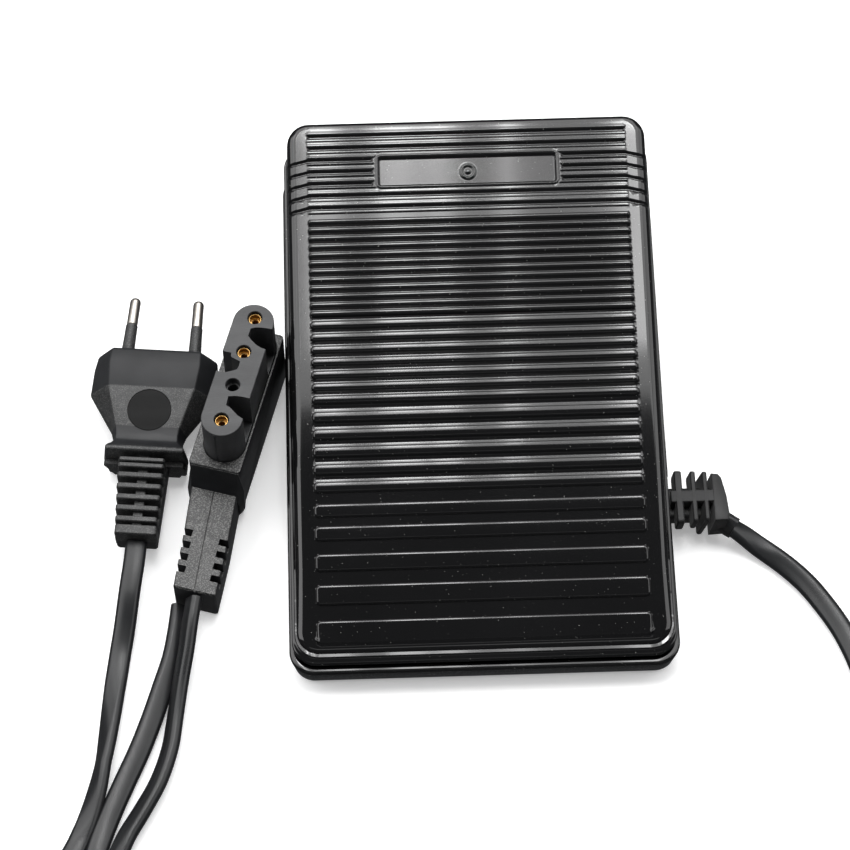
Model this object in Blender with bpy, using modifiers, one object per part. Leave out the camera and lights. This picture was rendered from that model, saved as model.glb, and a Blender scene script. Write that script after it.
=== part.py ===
"""Sewing machine foot pedal with its mains lead: Euro plug, machine connector and cords.

Frame: +X to the side where the cord leaves, +Y to the high toe end, +Z up.
The origin is the middle of the pedal's footprint, on the floor.
Driving dimensions are in millimetres and each mesh is scaled to metres once, when it is made.
"""

import math

import bmesh
import bpy
from mathutils import Euler, Matrix, Vector

MM = 0.001
GAP = 0.3                      # clearance between neighbouring pieces

# Pedal base, a shallow tray.
BASE_HALF_W = 51.0
BASE_HALF_L = 74.6
BASE_CORNER = 6.6
BASE_WALL = 2.0
BASE_BOTTOM = 0.8              # the pads lift the tray by this much
FLOOR_TOP = 3.0
RIM_HEEL = 8.3
RIM_TOE = 18.5

# Pedal lid, a sloped cap whose skirt dips into the tray.
LID_HEEL_Y = -68.9             # where the tread begins
LID_HEEL_Z = 12.6
LID_SLOPE = 0.2283             # rise of the tread for each mm toward the toe
LID_THICK = 2.2
SKIRT_HALF_W = 48.0
SKIRT_HEEL_Y = -71.3
SKIRT_TOE_Y = 70.8
SKIRT_WALL = 1.8
FLANGE_HALF_W = 50.2
FLANGE_HEEL_Y = -73.0
FLANGE_TOE_Y = 74.4
FLANGE_THICK = 1.1
FLANGE_HEEL_Z = 9.6
FLANGE_TOE_Z = 31.0
CROWN_HALF_W = 48.9            # the cap above the flange
CROWN_Y = (-70.4, 73.9)
CROWN_CORNER = 5.6

# Tread: long grooves at the toe, then rows of ribs that grow wider toward the heel.
RIB_HALF_W = 43.5
RIB_HEIGHT = 0.6
GROOVE_FIRST_Y = 69.2
GROOVE_PITCH = 3.37
GROOVE_COUNT = 7
RIB_ROWS = [                   # first row, pitch, count, rib width
    (45.8, 2.31, 12, 1.3),
    (17.6, 3.39, 7, 2.0),
    (-7.1, 4.70, 5, 2.6),
]
HEEL_BARS = [                  # toe-side edge, width
    (-31.8, 3.4),
    (-37.7, 3.7),
    (-45.0, 4.4),
    (-53.1, 5.1),
    (-62.4, 6.1),
]
PANEL_HALF_W = 24.3
PANEL_Y = (54.9, 63.1)
PANEL_DEPTH = 0.7

# Lid hinge across the heel.
HINGE_Y = -61.0
HINGE_Z = 8.0
HINGE_X = 37.0
HINGE_PIN_R = 1.25
HINGE_HOLE_R = 1.55

# Speed control: a rack under the lid turns the pinion of a potentiometer.
RACK_R = 60.0                  # pitch radius about the lid hinge
PINION_R = 4.0
PINION_TEETH = 11
TOOTH_ADD = 0.55
TOOTH_DED = 0.85
PINION_Z = 12.2
PINION_Y = HINGE_Y + math.sqrt((RACK_R + PINION_R + 0.1) ** 2 - (PINION_Z - HINGE_Z) ** 2)

# Return springs.
SPRING_X = 40.0
SPRING_Y = 38.0
SPRING_R = 4.4
SPRING_WIRE = 0.6
SPRING_TURNS = 6
END_TURN = 0.9                 # share of a turn that lies close at each end
CLOSE_PITCH = 1.4

# Circuit board and its posts.
BOARD_HALF_W = 31.0
BOARD_Y = (13.0, 63.0)
BOARD_Z = 8.3
BOARD_THICK = 1.6
BOARD_TOP = BOARD_Z + BOARD_THICK
BOARD_SCREWS = [(-26.0, 18.0), (26.0, 18.0), (-26.0, 58.0), (26.0, 58.0)]

# Switch that the lid works through a lever.
SWITCH_X = -24.0
LEVER_Y = -38.5
LEVER_Z = 13.6
LEVER_LENGTH = 18.0
LEVER_REST = math.radians(11.5)
BUTTON_Y = -31.0

# Cord entry through the right wall.
ENTRY_Y = -27.0
ENTRY_Z = 6.5

# Cords and where they lie.
CORD_R = 2.3
COIL_R = 32.0
COIL_HALF_W = 5.9
COIL_H = 17.4
MAINS_COIL = (-142.0, -176.0)
PEDAL_COIL = (-50.0, -174.0)

# Plug, lying flat on the crest of its body and on its collar.
PLUG_AT = (-86.1, 22.2)
PLUG_YAW = math.radians(5.3)
PLUG_HALF_H = 7.0
PLUG_END = -56.6               # rear end of the plug's strain relief
PIN_SPACING = 18.6
PIN_LENGTH = 19.0
PIN_TOE_IN = math.radians(1.6)
SLEEVE_END = 10.5

# Machine connector, standing on the floor with its tower up.
CONNECTOR_AT = (-64.0, 1.5)
CONNECTOR_YAW = math.radians(16.2)
BODY_HALF_W = 7.1
BODY_Y = (-21.6, 22.4)
BODY_H = 20.0
TOWER_X = 0.8                  # the tower stands a little to one side
TOWER_HALF_W = 5.5
TOWER_Y = (-19.2, 22.0)
TOWER_TOP = 34.0
POCKET_DEPTH = 2.0
SOCKET_Y = [17.9, 7.1, -3.4, -14.2]
SOCKET_TOP = 32.2
SOCKET_HOLE_R = 1.95

COLOURS = {
    "black_abs": ((0.018, 0.018, 0.019), 0.28, 0.0),
    "black_pvc": ((0.055, 0.056, 0.058), 0.55, 0.0),
    "grained_black": ((0.06, 0.06, 0.062), 0.7, 0.0),
    "dark_rubber": ((0.02, 0.02, 0.02), 0.85, 0.0),
    "cord_grey": ((0.06, 0.062, 0.065), 0.45, 0.0),
    "steel": ((0.55, 0.56, 0.58), 0.3, 1.0),
    "nickel": ((0.66, 0.62, 0.58), 0.22, 1.0),
    "brass": ((0.78, 0.55, 0.22), 0.25, 1.0),
    "aluminium": ((0.62, 0.63, 0.64), 0.38, 1.0),
    "board_brown": ((0.25, 0.14, 0.05), 0.6, 0.0),
    "film_red": ((0.35, 0.04, 0.03), 0.4, 0.0),
    "copper_wire": ((0.55, 0.22, 0.08), 0.35, 1.0),
    "switch_black": ((0.03, 0.03, 0.03), 0.5, 0.0),
    "white_nylon": ((0.75, 0.74, 0.7), 0.45, 0.0),
    "resistor_tan": ((0.6, 0.45, 0.27), 0.5, 0.0),
    "wire_blue": ((0.03, 0.12, 0.45), 0.45, 0.0),
    "wire_brown": ((0.16, 0.06, 0.02), 0.45, 0.0),
    "terminal_green": ((0.04, 0.22, 0.1), 0.5, 0.0),
}


# ---------------------------------------------------------------- scene and helpers

for old in list(bpy.data.objects):
    bpy.data.objects.remove(old)

parts = bpy.data.collections.new("sewing_machine_pedal")
bpy.context.scene.collection.children.link(parts)
cutters = bpy.data.collections.new("cutters")
bpy.context.scene.collection.children.link(cutters)


def material(slot):
    """One Principled BSDF for each named finish."""
    found = bpy.data.materials.get(slot)
    if found:
        return found
    colour, roughness, metallic = COLOURS[slot]
    made = bpy.data.materials.new(slot)
    made.use_nodes = True
    shader = made.node_tree.nodes["Principled BSDF"]
    shader.inputs["Base Color"].default_value = (*colour, 1.0)
    shader.inputs["Roughness"].default_value = roughness
    shader.inputs["Metallic"].default_value = metallic
    return made


def place(name, bm, slot=None, matrix=None):
    """Turn a bmesh in millimetres into an object in metres; no slot means a cutter."""
    if matrix is not None:
        bm.transform(matrix)
    bmesh.ops.recalc_face_normals(bm, faces=bm.faces)
    bm.transform(Matrix.Scale(MM, 4))
    mesh = bpy.data.meshes.new(name)
    bm.to_mesh(mesh)
    bm.free()
    made = bpy.data.objects.new(name, mesh)
    if slot:
        mesh.materials.append(material(slot))
        parts.objects.link(made)
    else:
        made.hide_render = True
        made.display_type = "WIRE"
        cutters.objects.link(made)
    return made


def box_mesh(x, y, z, chamfer=0.0):
    """A box given by its three (low, high) spans, with its edges chamfered if asked."""
    bm = bmesh.new()
    bmesh.ops.create_cube(bm, size=1.0)
    centre = Vector(((x[0] + x[1]) / 2, (y[0] + y[1]) / 2, (z[0] + z[1]) / 2))
    size = Vector((x[1] - x[0], y[1] - y[0], z[1] - z[0]))
    bm.transform(Matrix.Translation(centre) @ Matrix.Diagonal((*size, 1.0)))
    if chamfer:
        bmesh.ops.bevel(bm, geom=bm.edges[:], offset=chamfer, segments=1, affect="EDGES")
    return bm


def rod_mesh(radius, start, end, sides=20, top_radius=None):
    """A cylinder or cone between two points."""
    start, end = Vector(start), Vector(end)
    bm = bmesh.new()
    bmesh.ops.create_cone(bm, cap_ends=True, segments=sides, radius1=radius,
                          radius2=radius if top_radius is None else top_radius,
                          depth=(end - start).length)
    turn = Vector((0, 0, 1)).rotation_difference(end - start).to_matrix().to_4x4()
    bm.transform(Matrix.Translation((start + end) / 2) @ turn)
    return bm


def turned_mesh(stations, sides=16):
    """A turned piece along +Y, from (y, radius) stations."""
    return loft_mesh([[(radius * math.cos(2 * math.pi * k / sides), y,
                        radius * math.sin(2 * math.pi * k / sides)) for k in range(sides)]
                      for y, radius in stations])


def loft_mesh(rings):
    """Skin between closed rings of (x, y, z) points with equal counts, capped at both ends."""
    bm = bmesh.new()
    made = [[bm.verts.new(point) for point in ring] for ring in rings]
    for low, high in zip(made, made[1:]):
        for i in range(len(low)):
            j = (i + 1) % len(low)
            bm.faces.new((low[i], low[j], high[j], high[i]))
    bm.faces.new(made[0])
    bm.faces.new(made[-1])
    return bm


def rounded_rectangle(half_w, y_low, y_high, radius, steps=5):
    """Plan outline with round corners, counterclockwise from the toe-right corner."""
    centres = [(half_w - radius, y_high - radius, 0), (radius - half_w, y_high - radius, 90),
               (radius - half_w, y_low + radius, 180), (half_w - radius, y_low + radius, 270)]
    points = []
    for cx, cy, first in centres:
        for step in range(steps + 1):
            angle = math.radians(first + 90 * step / steps)
            points.append((cx + radius * math.cos(angle), cy + radius * math.sin(angle)))
    return points


def ring(outline, height):
    """Lift a plan outline to a height that may depend on y."""
    return [(x, y, height(y) if callable(height) else height) for x, y in outline]


def stadium(half_w, y_low, y_high, steps=9):
    """Plan outline of a slot with round ends."""
    points = []
    for cy, first in ((y_high - half_w, 0), (y_low + half_w, 180)):
        for step in range(steps + 1):
            angle = math.radians(first + 180 * step / steps)
            points.append((half_w * math.cos(angle), cy + half_w * math.sin(angle)))
    return points


def prism_mesh(outline, low, high):
    """Straight-sided solid over a plan outline."""
    return loft_mesh([ring(outline, low), ring(outline, high)])


def apply_modifiers(target):
    """Replace the object's mesh by its evaluated one."""
    graph = bpy.context.evaluated_depsgraph_get()
    mesh = bpy.data.meshes.new_from_object(target.evaluated_get(graph))
    target.modifiers.clear()
    target.data = mesh


def combine(target, operation, tools):
    """Cut, join or intersect the target with each tool, then drop the tools."""
    for bm in tools:
        tool = place(target.name + "_tool", bm)
        boolean = target.modifiers.new("boolean", "BOOLEAN")
        boolean.operation = operation
        boolean.solver = "EXACT"
        boolean.object = tool
        apply_modifiers(target)
        bpy.data.objects.remove(tool)


def merge(*meshes):
    """One bmesh that holds several separate solids, for a tool that does many places at once."""
    whole = bmesh.new()
    for bm in meshes:
        part = bpy.data.meshes.new("part")
        bm.to_mesh(part)
        bm.free()
        whole.from_mesh(part)
        bpy.data.meshes.remove(part)
    return whole


def smooth_path(route, spacing):
    """Points about one spacing apart on a centripetal curve through the route."""
    knots = [Vector(point) for point in route]
    knots = [2 * knots[0] - knots[1]] + knots + [2 * knots[-1] - knots[-2]]
    dense = []
    for a, b, c, d in zip(knots, knots[1:], knots[2:], knots[3:]):
        t1 = (b - a).length ** 0.5
        t2 = t1 + (c - b).length ** 0.5
        t3 = t2 + (d - c).length ** 0.5
        for step in range(16):
            t = t1 + (t2 - t1) * step / 16
            a1 = a * ((t1 - t) / t1) + b * (t / t1)
            a2 = b * ((t2 - t) / (t2 - t1)) + c * ((t - t1) / (t2 - t1))
            a3 = c * ((t3 - t) / (t3 - t2)) + d * ((t - t2) / (t3 - t2))
            b1 = a1 * ((t2 - t) / t2) + a2 * (t / t2)
            b2 = a2 * ((t3 - t) / (t3 - t1)) + a3 * ((t - t1) / (t3 - t1))
            dense.append(b1 * ((t2 - t) / (t2 - t1)) + b2 * ((t - t1) / (t2 - t1)))
    dense.append(knots[-2])
    length = sum((q - p).length for p, q in zip(dense, dense[1:]))
    count = max(2, round(length / spacing))
    picked, walked, target = [dense[0]], 0.0, length / count
    for p, q in zip(dense, dense[1:]):
        step = (q - p).length
        while walked + step >= target and len(picked) < count:
            picked.append(p.lerp(q, (target - walked) / step))
            target += length / count
        walked += step
    picked.append(dense[-1])
    return picked


def tube(name, points, radius, slot, resolution=2):
    """A round wire or cord along the points, with filled ends."""
    curve = bpy.data.curves.new(name, "CURVE")
    curve.dimensions = "3D"
    curve.bevel_depth = radius * MM
    curve.bevel_resolution = resolution
    curve.use_fill_caps = True
    curve.materials.append(material(slot))
    spline = curve.splines.new("POLY")
    spline.points.add(len(points) - 1)
    for knot, point in zip(spline.points, points):
        knot.co = (*(Vector(point) * MM), 1.0)
    made = bpy.data.objects.new(name, curve)
    parts.objects.link(made)
    return made


def rim_height(y):
    return RIM_HEEL + (RIM_TOE - RIM_HEEL) * (y + BASE_HALF_L) / (2 * BASE_HALF_L)


def tread_height(y):
    return LID_HEEL_Z + LID_SLOPE * (y - LID_HEEL_Y)


def flange_height(y):
    span = FLANGE_TOE_Y - FLANGE_HEEL_Y
    return FLANGE_HEEL_Z + (FLANGE_TOE_Z - FLANGE_HEEL_Z) * (y - FLANGE_HEEL_Y) / span


def skirt_height(y):
    """Lower edge of the skirt: just above the floor at the heel, deep in the tray at the toe."""
    return 6.0 + 11.0 * (y - SKIRT_HEEL_Y) / (SKIRT_TOE_Y - SKIRT_HEEL_Y)


def shoulder_height(y):
    return flange_height(y) + FLANGE_THICK + 0.2


def screw(name, x, y, seat, length, head_r=2.5, shank_r=1.15, head_h=1.5):
    """Pan-head screw standing with its head's underside at the seat height."""
    made = place(name, rod_mesh(head_r, (x, y, seat), (x, y, seat + head_h), 16, head_r * 0.8),
                 "steel")
    combine(made, "UNION", [rod_mesh(shank_r, (x, y, seat - length), (x, y, seat + 0.4), 12)])
    slot = box_mesh((x - 2 * head_r, x + 2 * head_r), (y - 0.3, y + 0.3),
                    (seat + head_h - 0.6, seat + head_h + 1.0))
    combine(made, "DIFFERENCE", [slot])
    return made


# ---------------------------------------------------------------- base

FOOT_R = 7.2
FEET = {"foot_heel_left": (-39.0, -63.5), "foot_heel_right": (39.0, -63.5),
        "foot_toe_left": (-39.0, 63.5), "foot_toe_right": (39.0, 63.5)}
BUMPERS = {"bumper_left": -42.0, "bumper_right": 42.0}
BUMPER_Y = 60.0
CLAMP_X = 35.0
CLAMP_REACH = 9.0
POT_WALL_X = (4.8, 6.3)
POT_WALL_Y = (-3.0, 11.5)


def base_tray():
    def outline(inset):
        return rounded_rectangle(BASE_HALF_W - inset, inset - BASE_HALF_L, BASE_HALF_L - inset,
                                 BASE_CORNER - inset)
    tray = place("base_tray", loft_mesh([
        ring(outline(1.5), BASE_BOTTOM),
        ring(outline(0.0), BASE_BOTTOM + 1.6),
        ring(outline(0.0), lambda y: rim_height(y) - 1.6),
        ring(outline(0.5), lambda y: rim_height(y) - 0.5),
        ring(outline(1.6), rim_height)]), "black_abs")
    hollow = prism_mesh(outline(BASE_WALL), FLOOR_TOP, 60.0)
    entry_slot = box_mesh((BASE_HALF_W - 4, BASE_HALF_W + 4), (ENTRY_Y - 6, ENTRY_Y + 6),
                          (FLOOR_TOP, 60.0))
    pockets = [rod_mesh(FOOT_R + GAP, (x, y, 0), (x, y, 2.0), 24) for x, y in FEET.values()]
    combine(tray, "DIFFERENCE", [hollow, entry_slot, merge(*pockets)])

    sunk = FLOOR_TOP - 0.6
    bosses = []
    for side in (-1, 1):
        for offset in (-4.5, 4.5):
            middle = side * HINGE_X + offset
            bosses.append(box_mesh((middle - 1.5, middle + 1.5), (HINGE_Y - 3.2, HINGE_Y + 3.2),
                                   (sunk, HINGE_Z + 2.6)))
        bosses.append(rod_mesh(3.2, (side * SPRING_X, SPRING_Y, sunk),
                               (side * SPRING_X, SPRING_Y, 6.0), 16))
        bosses.append(rod_mesh(3.0, (CLAMP_X, ENTRY_Y + side * CLAMP_REACH, sunk),
                               (CLAMP_X, ENTRY_Y + side * CLAMP_REACH, 9.2), 16))
    for x in BUMPERS.values():
        bosses.append(rod_mesh(3.4, (x, BUMPER_Y, sunk), (x, BUMPER_Y, 23.0), 16))
    for x, y in BOARD_SCREWS:
        bosses.append(rod_mesh(3.0, (x, y, sunk), (x, y, BOARD_Z - GAP), 16))
    bosses.append(box_mesh(POT_WALL_X, POT_WALL_Y, (sunk, 17.2)))
    for y in (-41.2, -17.8):
        bosses.append(box_mesh((SWITCH_X - 3.2, SWITCH_X + 3.2), (y - 0.9, y + 0.9), (sunk, 8.0)))
    combine(tray, "UNION", [merge(*bosses)])

    holes = []
    for side in (-1, 1):
        holes.append(rod_mesh(HINGE_HOLE_R, (side * (HINGE_X - 8), HINGE_Y, HINGE_Z),
                              (side * (HINGE_X + 8), HINGE_Y, HINGE_Z), 20))
        holes.append(rod_mesh(1.45, (CLAMP_X, ENTRY_Y + side * CLAMP_REACH, 4.0),
                              (CLAMP_X, ENTRY_Y + side * CLAMP_REACH, 12.0), 12))
    for x, y in BOARD_SCREWS:
        holes.append(rod_mesh(1.45, (x, y, 4.0), (x, y, 12.0), 12))
    holes.append(rod_mesh(3.5, (POT_WALL_X[0] - 1, PINION_Y, PINION_Z),
                          (POT_WALL_X[1] + 1, PINION_Y, PINION_Z), 20))
    combine(tray, "DIFFERENCE", [merge(*holes)])


def feet_and_bumpers():
    for name, (x, y) in FEET.items():
        place(name, rod_mesh(FOOT_R - 0.5, (x, y, 0.0), (x, y, 1.7), 24, FOOT_R), "dark_rubber")
    for name, x in BUMPERS.items():
        place(name, rod_mesh(3.4, (x, BUMPER_Y, 23.0 + GAP), (x, BUMPER_Y, 28.0), 16, 2.6),
              "dark_rubber")


# ---------------------------------------------------------------- lid

def tread_bars():
    """Every rib of the tread as (heel edge, toe edge) along y."""
    bars = []
    for first, pitch, count, width in RIB_ROWS:
        for row in range(count):
            top = first - row * pitch
            bars.append((top - width, top))
    for top, width in HEEL_BARS:
        bars.append((top - width, top))
    return bars


def tread_bar_mesh(y_low, y_high, half_w, rise, sink):
    """A rib that follows the slope of the tread, with a narrower crown."""
    edge = min(0.35, (y_high - y_low) / 4)
    rings = []
    for inset, lift in ((0.0, -sink), (0.0, rise * 0.4), (edge, rise)):
        outline = rounded_rectangle(half_w - inset, y_low + inset, y_high - inset,
                                    (y_high - y_low) / 2 - inset - 0.01, 2)
        rings.append(ring(outline, lambda y, lift=lift: tread_height(y) + lift))
    return loft_mesh(rings)


def lid():
    skirt = rounded_rectangle(SKIRT_HALF_W, SKIRT_HEEL_Y, SKIRT_TOE_Y, 4.2)
    flange = rounded_rectangle(FLANGE_HALF_W, FLANGE_HEEL_Y, FLANGE_TOE_Y, 6.5)
    foot = rounded_rectangle(CROWN_HALF_W + 0.3, CROWN_Y[0] - 0.6, CROWN_Y[1] + 0.2, CROWN_CORNER)

    def crown(inset, share):
        """Ring of the rounded top edge: share is how far up the rounding it sits."""
        def height(y):
            top = tread_height(y)
            return top - min(2.4, 0.85 * (top - shoulder_height(y))) * (1 - share)
        outline = rounded_rectangle(CROWN_HALF_W - inset, CROWN_Y[0] + inset, CROWN_Y[1] - inset,
                                    CROWN_CORNER)
        return ring(outline, height)

    shell = place("lid", loft_mesh([
        ring(skirt, skirt_height), ring(skirt, flange_height),
        ring(flange, flange_height), ring(flange, lambda y: flange_height(y) + FLANGE_THICK),
        ring(foot, shoulder_height),
        crown(0.0, 0.0), crown(0.3, 0.38), crown(0.8, 0.72), crown(1.5, 0.92), crown(2.4, 1.0)]),
        "black_abs")
    inside = rounded_rectangle(SKIRT_HALF_W - SKIRT_WALL, SKIRT_HEEL_Y + SKIRT_WALL,
                               SKIRT_TOE_Y - SKIRT_WALL, 2.6)
    hollow = loft_mesh([ring(inside, -5.0), ring(inside, lambda y: tread_height(y) - LID_THICK)])
    grooves = []
    for row in range(GROOVE_COUNT):
        y = GROOVE_FIRST_Y - row * GROOVE_PITCH
        half = RIB_HALF_W if row < 2 else 55.0
        top = tread_height(y)
        grooves.append(box_mesh((-half, half), (y - 0.35, y + 0.35), (top - 0.5, top + 3.0)))
    panel = loft_mesh([ring(rounded_rectangle(PANEL_HALF_W, *PANEL_Y, 1.2, 3),
                            lambda y, lift=lift: tread_height(y) + lift)
                       for lift in (-PANEL_DEPTH, 3.0)])
    entry = box_mesh((SKIRT_HALF_W - 4, SKIRT_HALF_W + 0.8), (ENTRY_Y - 11, ENTRY_Y + 11), (0, 14.5))
    combine(shell, "DIFFERENCE", [hollow, merge(*grooves), panel, entry])

    ribs = [tread_bar_mesh(low, high, RIB_HALF_W, RIB_HEIGHT, 0.7) for low, high in tread_bars()]
    combine(shell, "UNION", [merge(*ribs)])

    fixings = []
    for side in (-1, 1):
        near, far = side * (HINGE_X - 2.6), side * (HINGE_X + 2.6)
        knuckle = (min(near, far), max(near, far))
        fixings.append(box_mesh(knuckle, (HINGE_Y - 2.2, HINGE_Y + 2.2),
                                (HINGE_Z - 2.4, tread_height(HINGE_Y) - LID_THICK + 0.9)))
        spring_roof = tread_height(SPRING_Y) - LID_THICK
        fixings.append(rod_mesh(3.0, (side * SPRING_X, SPRING_Y, spring_roof - 3.0),
                                (side * SPRING_X, SPRING_Y, spring_roof + 1.0), 16))
    fixings.append(box_mesh((-6.0, -0.4), (-10.5, -4.8), (16.5, tread_height(-10.5) - 1.4)))
    fixings.append(box_mesh((SWITCH_X - 1.5, SWITCH_X + 1.5), (-22.0, -19.0),
                            (18.1, tread_height(-22.0) - 1.4)))
    combine(shell, "UNION", [merge(*fixings)])
    holes = [rod_mesh(HINGE_HOLE_R, (side * (HINGE_X - 6), HINGE_Y, HINGE_Z),
                      (side * (HINGE_X + 6), HINGE_Y, HINGE_Z), 20) for side in (-1, 1)]
    holes.append(rod_mesh(1.1 + GAP, (-4.8, *rack_screw_at()), (1.0, *rack_screw_at()), 12))
    combine(shell, "DIFFERENCE", [merge(*holes)])


def hinge_pins():
    for name, side in (("hinge_pin_left", -1), ("hinge_pin_right", 1)):
        place(name, rod_mesh(HINGE_PIN_R, (side * (HINGE_X - 5.8), HINGE_Y, HINGE_Z),
                             (side * (HINGE_X + 5.8), HINGE_Y, HINGE_Z), 20), "steel")


# ---------------------------------------------------------------- speed control

def polar(radius, degrees):
    """(y, z) of a point at a radius and angle about the lid hinge."""
    angle = math.radians(degrees)
    return HINGE_Y + radius * math.cos(angle), HINGE_Z + radius * math.sin(angle)


def rack_screw_at():
    return polar(55.6, 12.7)


def rack_sector():
    """Toothed sector about the lid hinge, with the tab that the lid's block carries."""
    contact = math.degrees(math.asin((PINION_Z - HINGE_Z) / (RACK_R + PINION_R + 0.1)))
    tooth = 360 * PINION_R / RACK_R / PINION_TEETH
    first, last = contact - tooth, contact + 5.0 + tooth
    points = [polar(53.0, first - 0.6)]
    centre = contact - tooth
    points.append(polar(RACK_R - TOOTH_DED, first - 0.6))
    while centre <= last + 0.01:
        for radius, share in ((RACK_R - TOOTH_DED, -0.27), (RACK_R + TOOTH_ADD, -0.12),
                              (RACK_R + TOOTH_ADD, 0.12), (RACK_R - TOOTH_DED, 0.27)):
            points.append(polar(radius, centre + share * tooth))
        centre += tooth
    points += [polar(RACK_R - TOOTH_DED, centre - 0.6 * tooth), polar(59.0, 15.2)]
    points += [polar(53.0, 15.2 - step * (15.8 - first) / 6) for step in range(6)]
    rings = [[(x, y, z) for y, z in points] for x in (0.0, 3.8)]
    sector = place("rack_sector", loft_mesh(rings), "white_nylon")
    y, z = rack_screw_at()
    combine(sector, "DIFFERENCE", [rod_mesh(1.1 + GAP, (-1, y, z), (5, y, z), 12)])
    fixing = place("rack_screw", rod_mesh(2.2, (3.8 + GAP, y, z), (5.3, y, z), 16), "steel")
    combine(fixing, "UNION", [rod_mesh(1.1, (-4.2, y, z), (4.5, y, z), 12)])


def pinion():
    """Small gear on the potentiometer's shaft, with a tooth gap facing the rack."""
    points = []
    toward_rack = math.atan2(HINGE_Z - PINION_Z, HINGE_Y - PINION_Y)
    pitch = 2 * math.pi / PINION_TEETH
    for k in range(PINION_TEETH):
        middle = toward_rack + (k + 0.5) * pitch
        for radius, share in ((PINION_R - TOOTH_DED, -0.27), (PINION_R + TOOTH_ADD, -0.12),
                              (PINION_R + TOOTH_ADD, 0.12), (PINION_R - TOOTH_DED, 0.27)):
            angle = middle + share * pitch
            points.append((PINION_Y + radius * math.cos(angle), PINION_Z + radius * math.sin(angle)))
    gear = place("pinion", loft_mesh([[(x, y, z) for y, z in points] for x in (0.2, 3.6)]),
                 "white_nylon")
    hub = rod_mesh(2.4, (3.0, PINION_Y, PINION_Z), (4.2, PINION_Y, PINION_Z), 16)
    combine(gear, "UNION", [hub])


def potentiometer():
    can = place("potentiometer", rod_mesh(7.4, (6.6, PINION_Y, PINION_Z),
                                          (14.0, PINION_Y, PINION_Z), 28), "aluminium")
    bush = rod_mesh(3.2, (4.5, PINION_Y, PINION_Z), (7.4, PINION_Y, PINION_Z), 20)
    legs = [box_mesh((9.0 + k * 2.0, 9.8 + k * 2.0), (8.0, 12.6), (PINION_Z - 0.4, PINION_Z + 0.4))
            for k in (-1, 0, 1)]
    combine(can, "UNION", [bush, merge(*legs)])


# ---------------------------------------------------------------- switch and springs

def switch():
    body = place("microswitch", box_mesh((SWITCH_X - 3.2, SWITCH_X + 3.2), (-40.0, -19.0),
                                         (FLOOR_TOP + GAP, 12.4), 0.4), "switch_black")
    combine(body, "DIFFERENCE", [rod_mesh(1.35, (SWITCH_X, BUTTON_Y, 9.2),
                                          (SWITCH_X, BUTTON_Y, 15.0), 16)])
    place("switch_button", rod_mesh(1.0, (SWITCH_X, BUTTON_Y, 11.2), (SWITCH_X, BUTTON_Y, 14.1), 16),
          "white_nylon")
    lever = place("switch_lever", box_mesh((SWITCH_X - 2.0, SWITCH_X + 2.0), (0.4, LEVER_LENGTH),
                                           (-0.3, 0.3)), "steel")
    combine(lever, "UNION", [rod_mesh(0.9, (SWITCH_X - 2.0, 0, 0), (SWITCH_X + 2.0, 0, 0), 14)])
    lever.data.transform(Matrix.Translation((0, LEVER_Y * MM, LEVER_Z * MM))
                         @ Matrix.Rotation(LEVER_REST, 4, "X"))


def springs():
    """Compression springs between the tray and the lid, each end closed against its seat."""
    low, high = FLOOR_TOP + GAP + SPRING_WIRE, 33.0
    steps = 11
    for name, side in (("spring_left", -1), ("spring_right", 1)):
        points = []
        for k in range(SPRING_TURNS * steps + 1):
            turn = k / steps
            close_turns = min(turn, END_TURN) + max(turn - SPRING_TURNS + END_TURN, 0.0)
            open_share = (turn - END_TURN) / (SPRING_TURNS - 2 * END_TURN)
            z = low + CLOSE_PITCH * close_turns
            z += min(max(open_share, 0.0), 1.0) * (high - low - 2 * CLOSE_PITCH * END_TURN)
            angle = 2 * math.pi * turn
            points.append((side * SPRING_X + SPRING_R * math.cos(angle),
                           SPRING_Y + SPRING_R * math.sin(angle), z))
        tube(name, points, SPRING_WIRE, "steel")


# ---------------------------------------------------------------- circuit

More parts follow.
